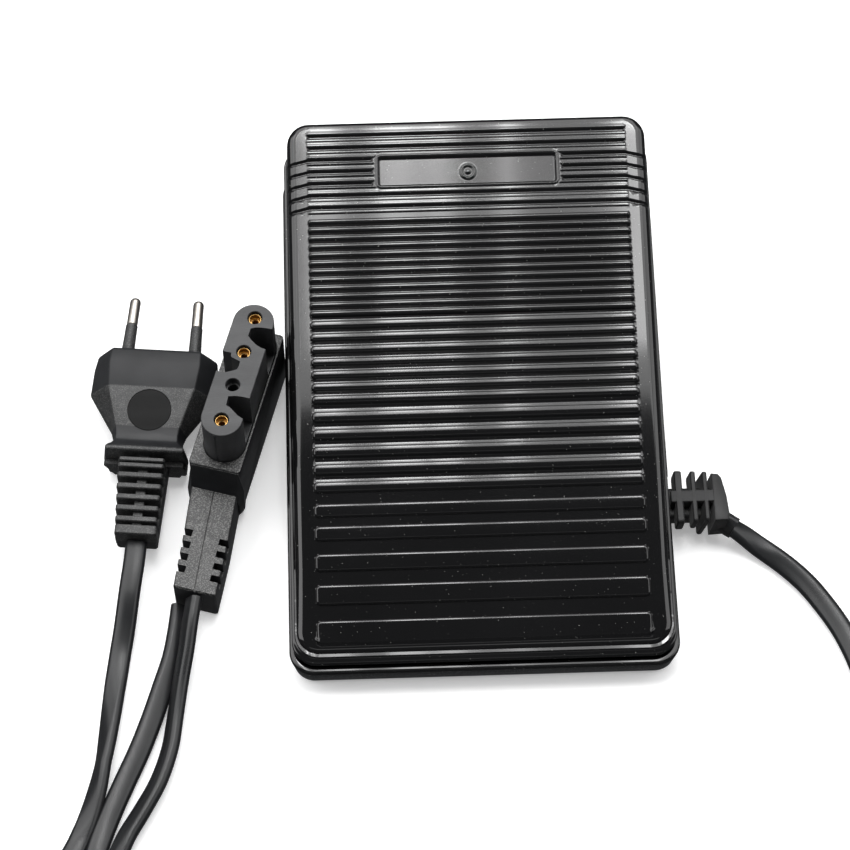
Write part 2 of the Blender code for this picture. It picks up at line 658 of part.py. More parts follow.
def circuit():
    board = place("circuit_board", box_mesh((-BOARD_HALF_W, BOARD_HALF_W), BOARD_Y,
                                            (BOARD_Z, BOARD_TOP)), "board_brown")
    combine(board, "DIFFERENCE", [merge(*[rod_mesh(1.6, (x, y, 5), (x, y, 14), 14)
                                          for x, y in BOARD_SCREWS])])
    for number, (x, y) in enumerate(BOARD_SCREWS, 1):
        screw("board_screw_%d" % number, x, y, BOARD_TOP + GAP, 5.0)
    seat = BOARD_TOP + GAP
    place("capacitor", box_mesh((-13.0, 5.0), (44.0, 53.0), (seat, seat + 12.0), 0.6), "film_red")
    choke = bmesh.new()
    turns, sides = 16, 8
    rings = []
    for k in range(turns):
        around = 2 * math.pi * k / turns
        rings.append([choke.verts.new(((8.0 + 3.4 * math.cos(a)) * math.cos(around) + 19.0,
                                       (8.0 + 3.4 * math.cos(a)) * math.sin(around) + 39.0,
                                       3.4 * math.sin(a) + seat + 3.5))
                      for a in (2 * math.pi * j / sides for j in range(sides))])
    for k in range(turns):
        for j in range(sides):
            a, b = rings[k], rings[(k + 1) % turns]
            choke.faces.new((a[j], b[j], b[(j + 1) % sides], a[(j + 1) % sides]))
    place("choke", choke, "copper_wire")
    sink = place("heat_sink", box_mesh((-28.5, -14.5), (30.0, 50.0), (seat, seat + 10.0)),
                 "aluminium")
    combine(sink, "DIFFERENCE", [box_mesh((-27.0, -16.0), (25.0, 55.0), (seat + 1.5, seat + 20.0))])
    tab = place("triac", box_mesh((-26.4, -16.6), (33.0, 42.0), (seat + 1.8, seat + 6.2), 0.3),
                "switch_black")
    combine(tab, "UNION", [box_mesh((-26.4, -16.6), (41.0, 48.0), (seat + 1.8, seat + 3.1))])
    for number, y in enumerate((31.0, 25.5), 1):
        middle = rod_mesh(1.5, (-9.0, y, seat + 1.6), (-1.0, y, seat + 1.6), 14)
        piece = place("resistor_%d" % number, middle, "resistor_tan")
        combine(piece, "UNION", [rod_mesh(0.4, (-12.0, y, seat + 1.6), (2.0, y, seat + 1.6), 8)])
    block = place("terminal_block", box_mesh((10.0, 22.0), (15.0, 23.0), (seat, seat + 9.0), 0.4),
                  "terminal_green")
    wells = []
    for x in (13.2, 18.8):
        wells.append(rod_mesh(1.6, (x, 19.0, seat + 5.0), (x, 19.0, seat + 12.0), 14))
        wells.append(rod_mesh(1.2, (x, 12.0, seat + 3.0), (x, 17.0, seat + 3.0), 12))
    combine(block, "DIFFERENCE", [merge(*wells)])


def internal_leads():
    seat = BOARD_TOP + GAP
    tail = [(46.2 - 2.4 * k, ENTRY_Y, ENTRY_Z) for k in range(8)]
    tube("cord_tail", tail, CORD_R, "cord_grey", 3)
    routes = {
        "lead_live": ("wire_brown", 18.8, [(28.8, ENTRY_Y + 1.3, 6.8), (25.0, -17.0, 7.0),
                                           (22.0, -2.0, 8.5), (20.4, 7.5, 11.6)]),
        "lead_neutral": ("wire_blue", 13.2, [(28.8, ENTRY_Y - 1.3, 6.4), (21.0, -20.0, 6.0),
                                             (17.8, -6.0, 7.0), (17.4, 5.0, 9.6)]),
    }
    for name, (slot, x, route) in routes.items():
        route.append((x, 14.0, seat + 3.0))
        route.append((x, 16.4, seat + 3.0))
        tube(name, smooth_path(route, 4.0), 0.8, slot)


def cord_clamp():
    bar = place("cord_clamp", box_mesh((CLAMP_X - 3.4, CLAMP_X + 3.4),
                                       (ENTRY_Y - 12.4, ENTRY_Y + 12.4), (9.5, 11.5), 0.3), "steel")
    combine(bar, "DIFFERENCE", [merge(*[
        rod_mesh(1.6, (CLAMP_X, ENTRY_Y + side * CLAMP_REACH, 8),
                 (CLAMP_X, ENTRY_Y + side * CLAMP_REACH, 14), 12) for side in (-1, 1)])])
    for number, side in enumerate((-1, 1), 1):
        screw("clamp_screw_%d" % number, CLAMP_X, ENTRY_Y + side * CLAMP_REACH, 11.8, 6.5)


# ---------------------------------------------------------------- strain relief of the pedal

RELIEF_RIBS = [(51.3, 53.5), (55.5, 57.2), (58.8, 60.4)]
RELIEF_END = (62.3, 66.0)


def strain_relief():
    """Moulded grommet: flange inside the wall, neck in the wall's slot, ribs on a spine outside."""
    def plate(x, half_w, low, high, chamfer):
        outline = [(half_w, low + chamfer), (half_w, high - 1.0), (half_w - 1.0, high),
                   (1.0 - half_w, high), (-half_w, high - 1.0), (-half_w, low + chamfer),
                   (chamfer - half_w, low), (half_w - chamfer, low)]
        return loft_mesh([[(at, ENTRY_Y + y, z) for y, z in outline] for at in x])
    neck = place("strain_relief", plate((46.9, 65.0), 5.6, FLOOR_TOP + GAP, 9.8, 1.2), "dark_rubber")
    pieces = [plate((46.9, 48.7), 8.0, FLOOR_TOP + GAP, 10.4, 1.2)]
    for x in RELIEF_RIBS:
        taper = (x[0] - 51.3) * 0.13
        pieces.append(plate(x, 8.0 - taper, 2.2, 11.2 - taper * 0.5, 2.0))
    pieces.append(plate(RELIEF_END, 6.6, 2.4, 10.6, 2.0))
    pieces.append(box_mesh((51.3, 63.0), (ENTRY_Y - 1.7, ENTRY_Y + 1.7), (9.0, 10.6)))
    combine(neck, "UNION", pieces)


# ---------------------------------------------------------------- plug

def plug_matrix():
    """From the plug's own frame (pins along +Y, face centre at 0) to where it lies."""
    return (Matrix.Translation((*PLUG_AT, PLUG_HALF_H + GAP))
            @ Euler((0, 0, -PLUG_YAW)).to_matrix().to_4x4())


PLUG_SECTIONS = [               # y, half width on top, half width at the waist, half thickness
    (0.0, 12.2, 16.6, 5.8),
    (-5.0, 12.4, 17.2, 6.5),
    (-12.8, 11.7, 17.4, PLUG_HALF_H),
    (-24.2, 8.7, 10.3, 5.3),
    (-28.4, 8.6, 9.9, 5.0),
    (-30.8, 10.3, 10.9, PLUG_HALF_H),
    (-34.6, 9.9, 10.5, PLUG_HALF_H),
    (-35.0, 6.3, 6.6, 5.6),
    (PLUG_END, 5.6, 5.9, 5.0),
]


def plug():
    matrix = plug_matrix()
    rings = []
    for y, top, waist, thick in PLUG_SECTIONS:
        rings.append([(waist, y, 0), (top, y, thick), (-top, y, thick),
                      (-waist, y, 0), (-top, y, -thick), (top, y, -thick)])
    body = place("plug_body", loft_mesh(rings), "black_pvc", matrix)
    for name, side in (("left", -1), ("right", 1)):
        seat = Matrix.Translation((side * PIN_SPACING / 2, 0, 0)) @ Matrix.Rotation(
            side * PIN_TOE_IN, 4, "Z")
        bore = rod_mesh(1.7, (0, -9, 0), (0, 3, 0), 16)
        bore.transform(matrix @ seat)
        combine(body, "DIFFERENCE", [bore])
        profile = [(-8.0, 1.2), (SLEEVE_END + GAP, 1.2), (SLEEVE_END + GAP, 2.0), (PIN_LENGTH - 1.0, 2.0),
                   (PIN_LENGTH - 0.3, 1.6), (PIN_LENGTH, 0.8)]
        place("plug_pin_" + name, turned_mesh(profile), "nickel", matrix @ seat)
        sleeve = place("pin_sleeve_" + name, rod_mesh(1.95, (0, GAP, 0), (0, SLEEVE_END, 0), 20),
                       "switch_black", matrix @ seat)
        inner = rod_mesh(1.5, (0, -1, 0), (0, 12, 0), 16)
        inner.transform(matrix @ seat)
        combine(sleeve, "DIFFERENCE", [inner])


# ---------------------------------------------------------------- machine connector

def connector_matrix():
    return (Matrix.Translation((*CONNECTOR_AT, 0))
            @ Euler((0, 0, -CONNECTOR_YAW)).to_matrix().to_4x4())


KEYWAYS = [                     # outlines in the connector's frame, open to the tower's side
    [(0.6, 14.3), (3.4, 15.4), (9.0, 15.8), (9.0, 9.1), (6.4, 9.1), (3.6, 9.8), (2.0, 10.8),
     (0.6, 12.0)],
    [(-9.0, 5.9), (-2.3, 5.9), (-2.0, 4.7), (0.7, 3.9), (0.6, 1.4), (-0.6, 0.6), (-2.4, -0.4),
     (-9.0, -0.2)],
    [(0.6, -7.1), (4.4, -6.3), (9.0, -6.3), (9.0, -12.7), (6.3, -12.7), (3.4, -11.2), (2.0, -10.2),
     (0.8, -9.8)],
]


def connector():
    matrix = connector_matrix()
    outline = rounded_rectangle(BODY_HALF_W, *BODY_Y, 1.0, 2)
    body = place("connector_body", prism_mesh(outline, 0.0, BODY_H), "grained_black", matrix)
    tail = []
    for y, shift, half_w, low, high in ((-19.0, 0.2, 6.7, 0.2, 16.5), (-24.4, 0.4, 6.3, 0.3, 12.1),
                                        (-39.0, 2.2, 6.1, 0.4, 12.0), (-54.0, 3.6, 5.8, 0.5, 11.8)):
        tail.append([(shift + half_w, y, low), (shift + half_w, y, high),
                     (shift - half_w, y, high), (shift - half_w, y, low)])
    joined = loft_mesh(tail)
    joined.transform(matrix)
    combine(body, "UNION", [joined])

    def tower_outline(grow):
        slot = stadium(TOWER_HALF_W + grow, TOWER_Y[0] - grow, TOWER_Y[1] + grow)
        return [(x + TOWER_X, y) for x, y in slot]

    pocket = prism_mesh(tower_outline(GAP), BODY_H - POCKET_DEPTH, BODY_H + 2)
    pocket.transform(matrix)
    combine(body, "DIFFERENCE", [pocket])

    tower = place("connector_tower",
                  prism_mesh(tower_outline(0.0), BODY_H - POCKET_DEPTH + GAP, TOWER_TOP),
                  "black_pvc", matrix)
    notches = [prism_mesh(keyway, BODY_H + 0.4, 40.0) for keyway in KEYWAYS]
    bores = [rod_mesh(SOCKET_HOLE_R, (TOWER_X, y, 21.0), (TOWER_X, y, 40.0), 20) for y in SOCKET_Y]
    for tool in notches + bores:
        tool.transform(matrix)
        combine(tower, "DIFFERENCE", [tool])
    for number, y in ((1, SOCKET_Y[0]), (2, SOCKET_Y[1]), (3, SOCKET_Y[3])):
        contact = place("socket_%d" % number,
                        rod_mesh(1.6, (TOWER_X, y, 21.3), (TOWER_X, y, SOCKET_TOP), 20), "brass", matrix)
        bore = rod_mesh(1.1, (TOWER_X, y, 23.0), (TOWER_X, y, 36.0), 16)
        bore.transform(matrix)
        combine(contact, "DIFFERENCE", [bore])


# ---------------------------------------------------------------- cords on the floor

def plug_exit():
    """Where the mains cord leaves the plug, and a point further along the same line."""
    matrix = plug_matrix()
    return [tuple(matrix @ Vector((0, y, 0))) for y in (PLUG_END - GAP, PLUG_END - 6.0)]


MAINS_FROM_PLUG = plug_exit() + [
    (-92.8, -46.4, 6.5), (-93.6, -52.0, 5.4), (-94.5, -58.0, 4.1), (-95.6, -64.6, 3.1),
    (-96.7, -73.0, 2.9), (-97.9, -84.0, 2.9), (-99.3, -95.0, 2.9), (-101.3, -104.8, 2.9),
    (-104.0, -113.4, 2.9), (-107.8, -121.2, 2.9), (-114.5, -129.0, 2.9), (-124.0, -134.2, 2.9),
    (-134.0, -136.0, 2.9), (-142.0, -135.2, 2.9)]
MAINS_FROM_CONNECTOR = [
    (-79.6, -51.2, 2.9), (-80.4, -58.0, 2.9), (-81.8, -66.0, 2.9), (-84.2, -74.0, 2.9),
    (-87.0, -83.0, 2.9), (-90.2, -92.0, 2.9), (-94.0, -101.0, 2.9), (-97.6, -110.0, 2.9),
    (-100.6, -119.0, 2.9), (-103.0, -130.0, 2.9), (-104.0, -143.0, 2.9), (-103.5, -156.0, 2.9),
    (-101.9, -168.0, 2.9)]
PEDAL_FROM_CONNECTOR = [
    (-75.8, -52.0, 8.9), (-76.8, -58.0, 8.2), (-78.0, -66.0, 6.4), (-79.5, -74.0, 4.6),
    (-80.9, -83.0, 3.2), (-82.3, -92.0, 2.9), (-85.2, -101.0, 2.9), (-89.2, -108.7, 2.9),
    (-93.7, -116.8, 2.9), (-97.0, -127.0, 2.9), (-97.8, -141.0, 2.9), (-95.4, -156.0, 2.9),
    (-92.2, -168.0, 2.9), (-90.8, -176.0, 2.9)]
PEDAL_FROM_PEDAL = [
    (68.0, -34.0, 5.2), (71.3, -36.0, 4.3), (74.9, -38.7, 3.5), (78.4, -41.5, 3.0),
    (82.2, -45.0, 2.9), (86.3, -49.6, 2.9), (90.2, -55.4, 2.9), (94.9, -64.2, 2.9),
    (98.6, -75.5, 2.9), (100.6, -90.0, 2.9), (100.6, -108.0, 2.9), (98.2, -127.0, 2.9),
    (91.5, -145.0, 2.9), (79.5, -162.0, 2.9), (61.5, -179.0, 2.9), (38.0, -194.0, 2.9),
    (10.0, -205.5, 2.9), (-18.0, -212.5, 2.9), (-43.0, -214.9, 2.9)]


def cords():
    runs = {"mains_cord_plug_run": MAINS_FROM_PLUG,
            "mains_cord_connector_run": MAINS_FROM_CONNECTOR,
            "pedal_cord_connector_run": PEDAL_FROM_CONNECTOR,
            "pedal_cord_pedal_run": PEDAL_FROM_PEDAL}
    for name, route in runs.items():
        tube(name, smooth_path(route, 3 * CORD_R), CORD_R, "cord_grey")
    for name, (x, y) in (("mains_coil", MAINS_COIL), ("pedal_coil", PEDAL_COIL)):
        coil_ring(name, x, y)


def coil_ring(name, x, y):
    """Outer shape of the coiled cord: a turned ring lying on the floor."""
    low, high, soft = 0.3, 0.3 + COIL_H, 1.5
    inner, outer = COIL_R - COIL_HALF_W, COIL_R + COIL_HALF_W
    profile = [(outer - soft, high), (outer, high - soft), (outer, low + soft), (outer - soft, low),
               (inner + soft, low), (inner, low + soft), (inner, high - soft), (inner + soft, high)]
    bm = bmesh.new()
    corners = [bm.verts.new((r, 0, z)) for r, z in profile]
    for i in range(len(corners)):
        bm.edges.new((corners[i], corners[(i + 1) % len(corners)]))
    made = place(name, bm, "cord_grey")
    turn = made.modifiers.new("turn", "SCREW")
    turn.axis = "Z"
    turn.steps = 28
    turn.render_steps = 28
    turn.use_merge_vertices = True
    turn.merge_threshold = 0.00005
    turn.use_normal_calculate = True
    made.location = (x * MM, y * MM, 0)


base_tray()
feet_and_bumpers()
lid()
hinge_pins()
rack_sector()
pinion()
potentiometer()
switch()
springs()
circuit()
internal_leads()
cord_clamp()
strain_relief()
plug()
connector()
cords()
bpy.data.collections.remove(cutters)
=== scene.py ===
"""Looks of the sewing machine foot pedal: fine shells, plug, connector, cords and finishes.

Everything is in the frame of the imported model. Sizes are in millimetres and each mesh is
scaled to metres once, when it is made.
"""

import math

import bmesh
import bpy
import numpy as np
from mathutils import Euler, Matrix, Vector


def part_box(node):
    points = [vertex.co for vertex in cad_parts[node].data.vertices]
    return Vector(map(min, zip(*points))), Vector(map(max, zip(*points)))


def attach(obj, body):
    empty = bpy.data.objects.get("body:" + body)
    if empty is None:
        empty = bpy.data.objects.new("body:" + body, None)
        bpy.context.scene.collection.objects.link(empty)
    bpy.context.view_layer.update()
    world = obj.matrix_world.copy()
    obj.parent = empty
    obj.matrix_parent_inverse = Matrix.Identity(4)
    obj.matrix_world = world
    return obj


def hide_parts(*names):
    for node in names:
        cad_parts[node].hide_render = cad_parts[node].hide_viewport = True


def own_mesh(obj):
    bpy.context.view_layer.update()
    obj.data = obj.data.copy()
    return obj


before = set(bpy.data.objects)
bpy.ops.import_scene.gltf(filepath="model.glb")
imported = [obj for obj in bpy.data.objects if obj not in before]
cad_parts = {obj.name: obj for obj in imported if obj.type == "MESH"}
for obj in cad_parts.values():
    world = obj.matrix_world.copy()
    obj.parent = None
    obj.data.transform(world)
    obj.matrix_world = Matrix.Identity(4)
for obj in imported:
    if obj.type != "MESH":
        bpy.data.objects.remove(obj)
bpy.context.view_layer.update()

MM = 0.001


# ---------------------------------------------------------------- camera, light and floor

AIM = Vector((-13.66, -8.03, 20.0))
CAMERA_DISTANCE = 800.0
CAMERA_DIRECTION = (181.88, 60.79)
LENS = 126.9

SKY = ((0.95, 0.97, 1.0, 1.0), 0.10)
SOFTBOXES = [                  # name, direction, distance in metres, size, power
    ("toe_softbox", (0, 62), 1.6, (1.7, 1.45), 26),
    ("left_softbox", (-78, 42), 1.5, (1.3, 1.2), 16),
    ("right_softbox", (80, 40), 1.6, (1.3, 1.2), 12),
    ("heel_softbox", (180, 58), 1.6, (1.3, 0.12), 0.6),
]
# Narrow ceiling lamps that streak the tread: place across and width, in two bands.
LAMPS = [(-0.15, 0.03), (-0.063, 0.025), (-0.007, 0.03), (0.026, 0.02), (0.078, 0.012),
         (0.185, 0.05)]
LAMP_BANDS = [(70, 0.8, 8.0), (76, 0.13, 24.0)]     # elevation, length, radiance
LAMP_DISTANCE = 1.5
FLOOR_HALF = 3.0


def link(made):
    bpy.context.scene.collection.objects.link(made)
    return made


def direction(azimuth, elevation):
    """Unit vector from degrees round from +Y toward +X, and degrees up."""
    turn, rise = math.radians(azimuth), math.radians(elevation)
    return Vector((math.sin(turn) * math.cos(rise), math.cos(turn) * math.cos(rise),
                   math.sin(rise)))


def dial(node, settings):
    """Set a node's inputs from {socket name: value}."""
    for socket, value in settings.items():
        node.inputs[socket].default_value = value


def camera():
    away = direction(*CAMERA_DIRECTION)
    data = bpy.data.cameras.new("camera")
    data.sensor_width = 36.0
    data.lens = LENS
    data.clip_start = 0.02
    data.clip_end = 20.0
    made = link(bpy.data.objects.new("camera", data))
    made.location = (AIM + away * CAMERA_DISTANCE) * MM
    made.rotation_mode = "QUATERNION"
    made.rotation_quaternion = (-away).to_track_quat("-Z", "Y")
    bpy.context.scene.camera = made


def softbox(name, where, distance, size, power):
    """A rectangular lamp in a direction, facing the part."""
    away = direction(*where)
    data = bpy.data.lights.new(name, "AREA")
    data.shape = "RECTANGLE"
    data.size, data.size_y = size
    data.energy = power
    made = link(bpy.data.objects.new(name, data))
    made.location = away * distance
    made.rotation_mode = "QUATERNION"
    made.rotation_quaternion = away.to_track_quat("Z", "Y")
    return made


def studio():
    world = bpy.data.worlds.new("studio")
    world.use_nodes = True
    dial(world.node_tree.nodes["Background"], dict(zip(("Color", "Strength"), SKY)))
    bpy.context.scene.world = world
    for box in SOFTBOXES:
        softbox(*box)
    for along, width in LAMPS:
        for elevation, length, radiance in LAMP_BANDS:
            power = radiance * math.pi * width * length
            lamp = softbox("ceiling_lamp", (0, elevation), LAMP_DISTANCE, (width, length), power)
            lamp.location.x = along

    mesh = bpy.data.meshes.new("floor")
    bm = bmesh.new()
    bmesh.ops.create_grid(bm, x_segments=1, y_segments=1, size=FLOOR_HALF)
    bm.to_mesh(mesh)
    bm.free()
    floor = link(bpy.data.objects.new("floor", mesh))
    floor.visible_glossy = False
    pale = bpy.data.materials.new("pale_floor")
    pale.use_nodes = True
    dial(pale.node_tree.nodes["Principled BSDF"], {
        "Base Color": (0.94, 0.94, 0.94, 1.0), "Roughness": 0.9, "Specular IOR Level": 0.0,
        "Emission Color": (1.0, 1.0, 1.0, 1.0), "Emission Strength": 0.3})
    mesh.materials.append(pale)
    bpy.context.scene.view_settings.view_transform = "Standard"


# ---------------------------------------------------------------- finishes

def ramp_node(tree, source, stops):
    """Colour ramp fed by a socket; stops are (position, grey or colour)."""
    ramp = tree.nodes.new("ShaderNodeValToRGB")
    tree.links.new(source, ramp.inputs["Fac"])
    while len(ramp.color_ramp.elements) < len(stops):
        ramp.color_ramp.elements.new(0.5)
    for element, (position, colour) in zip(ramp.color_ramp.elements, stops):
        element.position = position
        element.color = (*colour, 1.0) if hasattr(colour, "__len__") else (colour,) * 3 + (1.0,)
    return ramp.outputs["Color"]


def noise_node(tree, size, detail=2.0, stretch=(1.0, 1.0, 1.0)):
    """Noise whose lumps are about size millimetres across, longer where stretch is above 1."""
    where = tree.nodes.new("ShaderNodeTexCoord")
    mapping = tree.nodes.new("ShaderNodeMapping")
    dial(mapping, {"Scale": [1.0 / (size * MM * axis) for axis in stretch]})
    tree.links.new(where.outputs["Object"], mapping.inputs["Vector"])
    noise = tree.nodes.new("ShaderNodeTexNoise")
    dial(noise, {"Scale": 1.0, "Detail": detail})
    tree.links.new(mapping.outputs["Vector"], noise.inputs["Vector"])
    return noise.outputs["Fac"]


def bump_node(tree, source, height, before=None):
    """Relief of a height in millimetres, on top of an earlier one."""
    bump = tree.nodes.new("ShaderNodeBump")
    dial(bump, {"Strength": 1.0, "Distance": height * MM})
    tree.links.new(source, bump.inputs["Height"])
    if before:
        tree.links.new(before, bump.inputs["Normal"])
    return bump.outputs["Normal"]


def mix_node(tree, base):
    """A colour mix that starts from a socket; its second colour is input 7."""
    mix = tree.nodes.new("ShaderNodeMix")
    mix.data_type = "RGBA"
    tree.links.new(base, mix.inputs[6])
    return mix


def finish(name, colour, roughness, metallic=0.0, tint=0.12, tint_size=6.0, rough_spread=0.06,
           grain=None, wave=None, specks=None, stretch=(1.0, 1.0, 1.0), coat=0.0, sheen=0.0,
           specular=0.5):
    """One procedural material.

    tint: how far the colour wanders; rough_spread: how far the roughness wanders;
    grain and wave: (size, height) of the fine and the broad relief, in millimetres;
    specks: (size, share, colour) of dust or bright flecks.
    """
    made = bpy.data.materials.new(name)
    made.use_nodes = True
    tree = made.node_tree
    shader = tree.nodes["Principled BSDF"]
    dial(shader, {"Metallic": metallic, "Specular IOR Level": specular})
    if coat:
        dial(shader, {"Coat Weight": coat, "Coat Roughness": 0.08})
    if sheen:
        dial(shader, {"Sheen Weight": sheen, "Sheen Roughness": 0.4})
    low = [channel * (1 - tint) for channel in colour]
    high = [min(1.0, channel * (1 + tint)) for channel in colour]
    base = ramp_node(tree, noise_node(tree, tint_size, 3.0, stretch), [(0.3, low), (0.7, high)])
    rough = ramp_node(tree, noise_node(tree, tint_size * 1.7, 4.0, stretch),
                      [(0.3, max(0.02, roughness - rough_spread)), (0.7, roughness + rough_spread)])
    normal = None
    if wave:
        normal = bump_node(tree, noise_node(tree, wave[0], 1.0), wave[1])
    if grain:
        fine = noise_node(tree, grain[0], 2.0, stretch)
        normal = bump_node(tree, fine, grain[1], normal)
        mix = mix_node(tree, base)
        mix.blend_type = "MULTIPLY"
        dial(mix, {"Factor": 1.0})
        tree.links.new(ramp_node(tree, fine, [(0.35, 1.0 - tint), (0.65, 1.0)]), mix.inputs[7])
        base = mix.outputs[2]
    if specks:
        size, share, speck_colour = specks
        mask = ramp_node(tree, noise_node(tree, size, 1.0),
                         [(1.0 - share, 0.0), (1.0 - share + 0.02, 1.0)])
        mix = mix_node(tree, base)
        tree.links.new(mask, mix.inputs["Factor"])
        mix.inputs[7].default_value = (*speck_colour, 1.0)
        base = mix.outputs[2]
    tree.links.new(base, shader.inputs["Base Color"])
    tree.links.new(rough, shader.inputs["Roughness"])
    if normal:
        tree.links.new(normal, shader.inputs["Normal"])
    return made


DUST = (0.16, 0.16, 0.15)
FINISHES = {
    "black_abs": finish("glossy_black_abs", (0.0045, 0.0045, 0.0048), 0.06, rough_spread=0.015,
                        tint_size=22.0, wave=(9.0, 0.005), grain=(0.5, 0.0006),
                        specks=(0.55, 0.235, DUST)),
    "black_pvc": finish("satin_pvc", (0.015, 0.0155, 0.017), 0.44, grain=(0.22, 0.012), tint=0.2,
                        specular=0.31),
    "fine_grain_pvc": finish("fine_grain_pvc", (0.018, 0.0185, 0.019), 0.46, grain=(0.40, 0.06),
                             specks=(0.34, 0.44, (0.055, 0.055, 0.054)), tint=0.3,
                             tint_size=4.0, specular=0.45),
    "grained_black": finish("spark_grain_pvc", (0.014, 0.014, 0.0145), 0.40, grain=(0.50, 0.16),
                            specks=(0.36, 0.46, (0.085, 0.085, 0.082)), tint=0.45,
                            tint_size=3.0),
    "brushed_pvc": finish("brushed_tower", (0.034, 0.0345, 0.036), 0.45, grain=(0.35, 0.010),
                          stretch=(6.0, 0.6, 1.0), tint=0.2, specular=0.38),
    "disc_pvc": finish("smooth_disc", (0.0045, 0.0045, 0.0045), 0.42, grain=(0.25, 0.004),
                       stretch=(8.0, 0.5, 1.0), specular=0.1),
    "dark_rubber": finish("moulded_rubber", (0.011, 0.011, 0.0115), 0.50, grain=(0.28, 0.02),
                          tint=0.25, sheen=0.1, specular=0.32),
    "cord_grey": finish("cord_jacket", (0.011, 0.0115, 0.0125), 0.33, grain=(0.35, 0.006),
                        tint_size=12.0, wave=(7.0, 0.05), specular=0.36),
    "steel": finish("bright_steel", (0.56, 0.57, 0.58), 0.27, 1.0, grain=(0.2, 0.003)),
    "nickel": finish("worn_nickel", (0.50, 0.47, 0.43), 0.34, 1.0, tint=0.14, tint_size=1.5,
                     grain=(0.16, 0.004), stretch=(1.0, 5.0, 1.0)),
    "brass": finish("turned_brass", (0.50, 0.31, 0.11), 0.30, 1.0, tint=0.15, tint_size=1.2,
                    grain=(0.12, 0.003)),
    "aluminium": finish("cast_aluminium", (0.62, 0.63, 0.64), 0.38, 1.0, grain=(0.3, 0.01)),
    "board_brown": finish("paper_board", (0.26, 0.145, 0.055), 0.55, tint=0.25, tint_size=2.0,
                          grain=(0.25, 0.01), stretch=(5.0, 1.0, 1.0)),
    "film_red": finish("dipped_film", (0.34, 0.035, 0.028), 0.33, wave=(3.0, 0.05), coat=0.4),
    "copper_wire": finish("enamelled_copper", (0.55, 0.21, 0.075), 0.3, 0.9,
                          grain=(0.5, 0.06), stretch=(1.0, 1.0, 6.0)),
    "switch_black": finish("moulded_black", (0.022, 0.022, 0.022), 0.45, grain=(0.25, 0.01)),
    "white_nylon": finish("white_nylon", (0.74, 0.73, 0.69), 0.42, tint=0.04, grain=(0.3, 0.006)),
    "resistor_tan": finish("resistor_coat", (0.58, 0.43, 0.26), 0.45, wave=(1.5, 0.03)),
    "wire_blue": finish("blue_insulation", (0.03, 0.12, 0.45), 0.42, grain=(0.3, 0.005)),
    "wire_brown": finish("brown_insulation", (0.16, 0.06, 0.02), 0.42, grain=(0.3, 0.005)),
    "terminal_green": finish("terminal_green", (0.035, 0.2, 0.09), 0.45, grain=(0.3, 0.008)),
}


# ---------------------------------------------------------------- mesh helpers

def smooth(made, angle=32.0):
    made.data.shade_smooth()
    made.data.set_sharp_from_angle(angle=math.radians(angle))
    return made


def place(name, bm, look, body, matrix=None, replaces=(), angle=32.0):
    """Turn a bmesh in millimetres into a piece in metres that rides on a body."""
    if matrix is not None:
        bm.transform(matrix)
    bmesh.ops.recalc_face_normals(bm, faces=bm.faces)
    bm.transform(Matrix.Scale(MM, 4))
    mesh = bpy.data.meshes.new(name)
    bm.to_mesh(mesh)
    bm.free()
    made = link(bpy.data.objects.new(name, mesh))
    mesh.materials.append(FINISHES[look])
    smooth(made, angle)
    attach(made, body)
    if replaces:
        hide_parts(*replaces)
    return made


def move(made, matrix):
    """Move a piece's mesh by a matrix in millimetres."""
    made.data.transform(Matrix.Scale(MM, 4) @ matrix @ Matrix.Scale(1 / MM, 4))


def second_finish(made, look, belongs):
    """Give another finish to the faces whose centre (in millimetres) and normal pass a test."""
    made.data.materials.append(FINISHES[look])
    for face in made.data.polygons:
        if belongs(face.center / MM, face.normal):
            face.material_index = 1


def apply_modifiers(made):
    graph = bpy.context.evaluated_depsgraph_get()
    mesh = bpy.data.meshes.new_from_object(made.evaluated_get(graph))
    made.modifiers.clear()
    old = made.data
    made.data = mesh
    bpy.data.meshes.remove(old)


def bevel(made, width, segments=3, angle=30.0):
    """Round the sharp edges of a piece, in millimetres."""
    modifier = made.modifiers.new("bevel", "BEVEL")
    modifier.width = width * MM
    modifier.segments = segments
    modifier.limit_method = "ANGLE"
    modifier.angle_limit = math.radians(angle)
    modifier.use_clamp_overlap = True
    apply_modifiers(made)
    return smooth(made, 50.0)


def combine(made, operation, tools):
    """Cut from or join to a piece; the tools are bmeshes in millimetres."""
    for bm in tools:
        bmesh.ops.recalc_face_normals(bm, faces=bm.faces)
        bm.transform(Matrix.Scale(MM, 4))
        mesh = bpy.data.meshes.new("tool")
        bm.to_mesh(mesh)
        bm.free()
        tool = link(bpy.data.objects.new("tool", mesh))
        modifier = made.modifiers.new("boolean", "BOOLEAN")
        modifier.operation = operation
        modifier.solver = "EXACT"
        modifier.object = tool
        apply_modifiers(made)
        bpy.data.objects.remove(tool)
        bpy.data.meshes.remove(mesh)
    return made


def skin(bm, rings):
    """Quads between neighbouring closed rings of vertices, and a cap on the last."""
    for low, high in zip(rings, rings[1:]):
        for i in range(len(low)):
            j = (i + 1) % len(low)
            bm.faces.new((low[i], low[j], high[j], high[i]))
    bm.faces.new(rings[-1])


def loft_mesh(rings):
    """A closed skin over rings of (x, y, z) points with equal counts."""
    bm = bmesh.new()
    made = [[bm.verts.new(point) for point in points] for points in rings]
    skin(bm, made)
    bm.faces.new(made[0])
    return bm


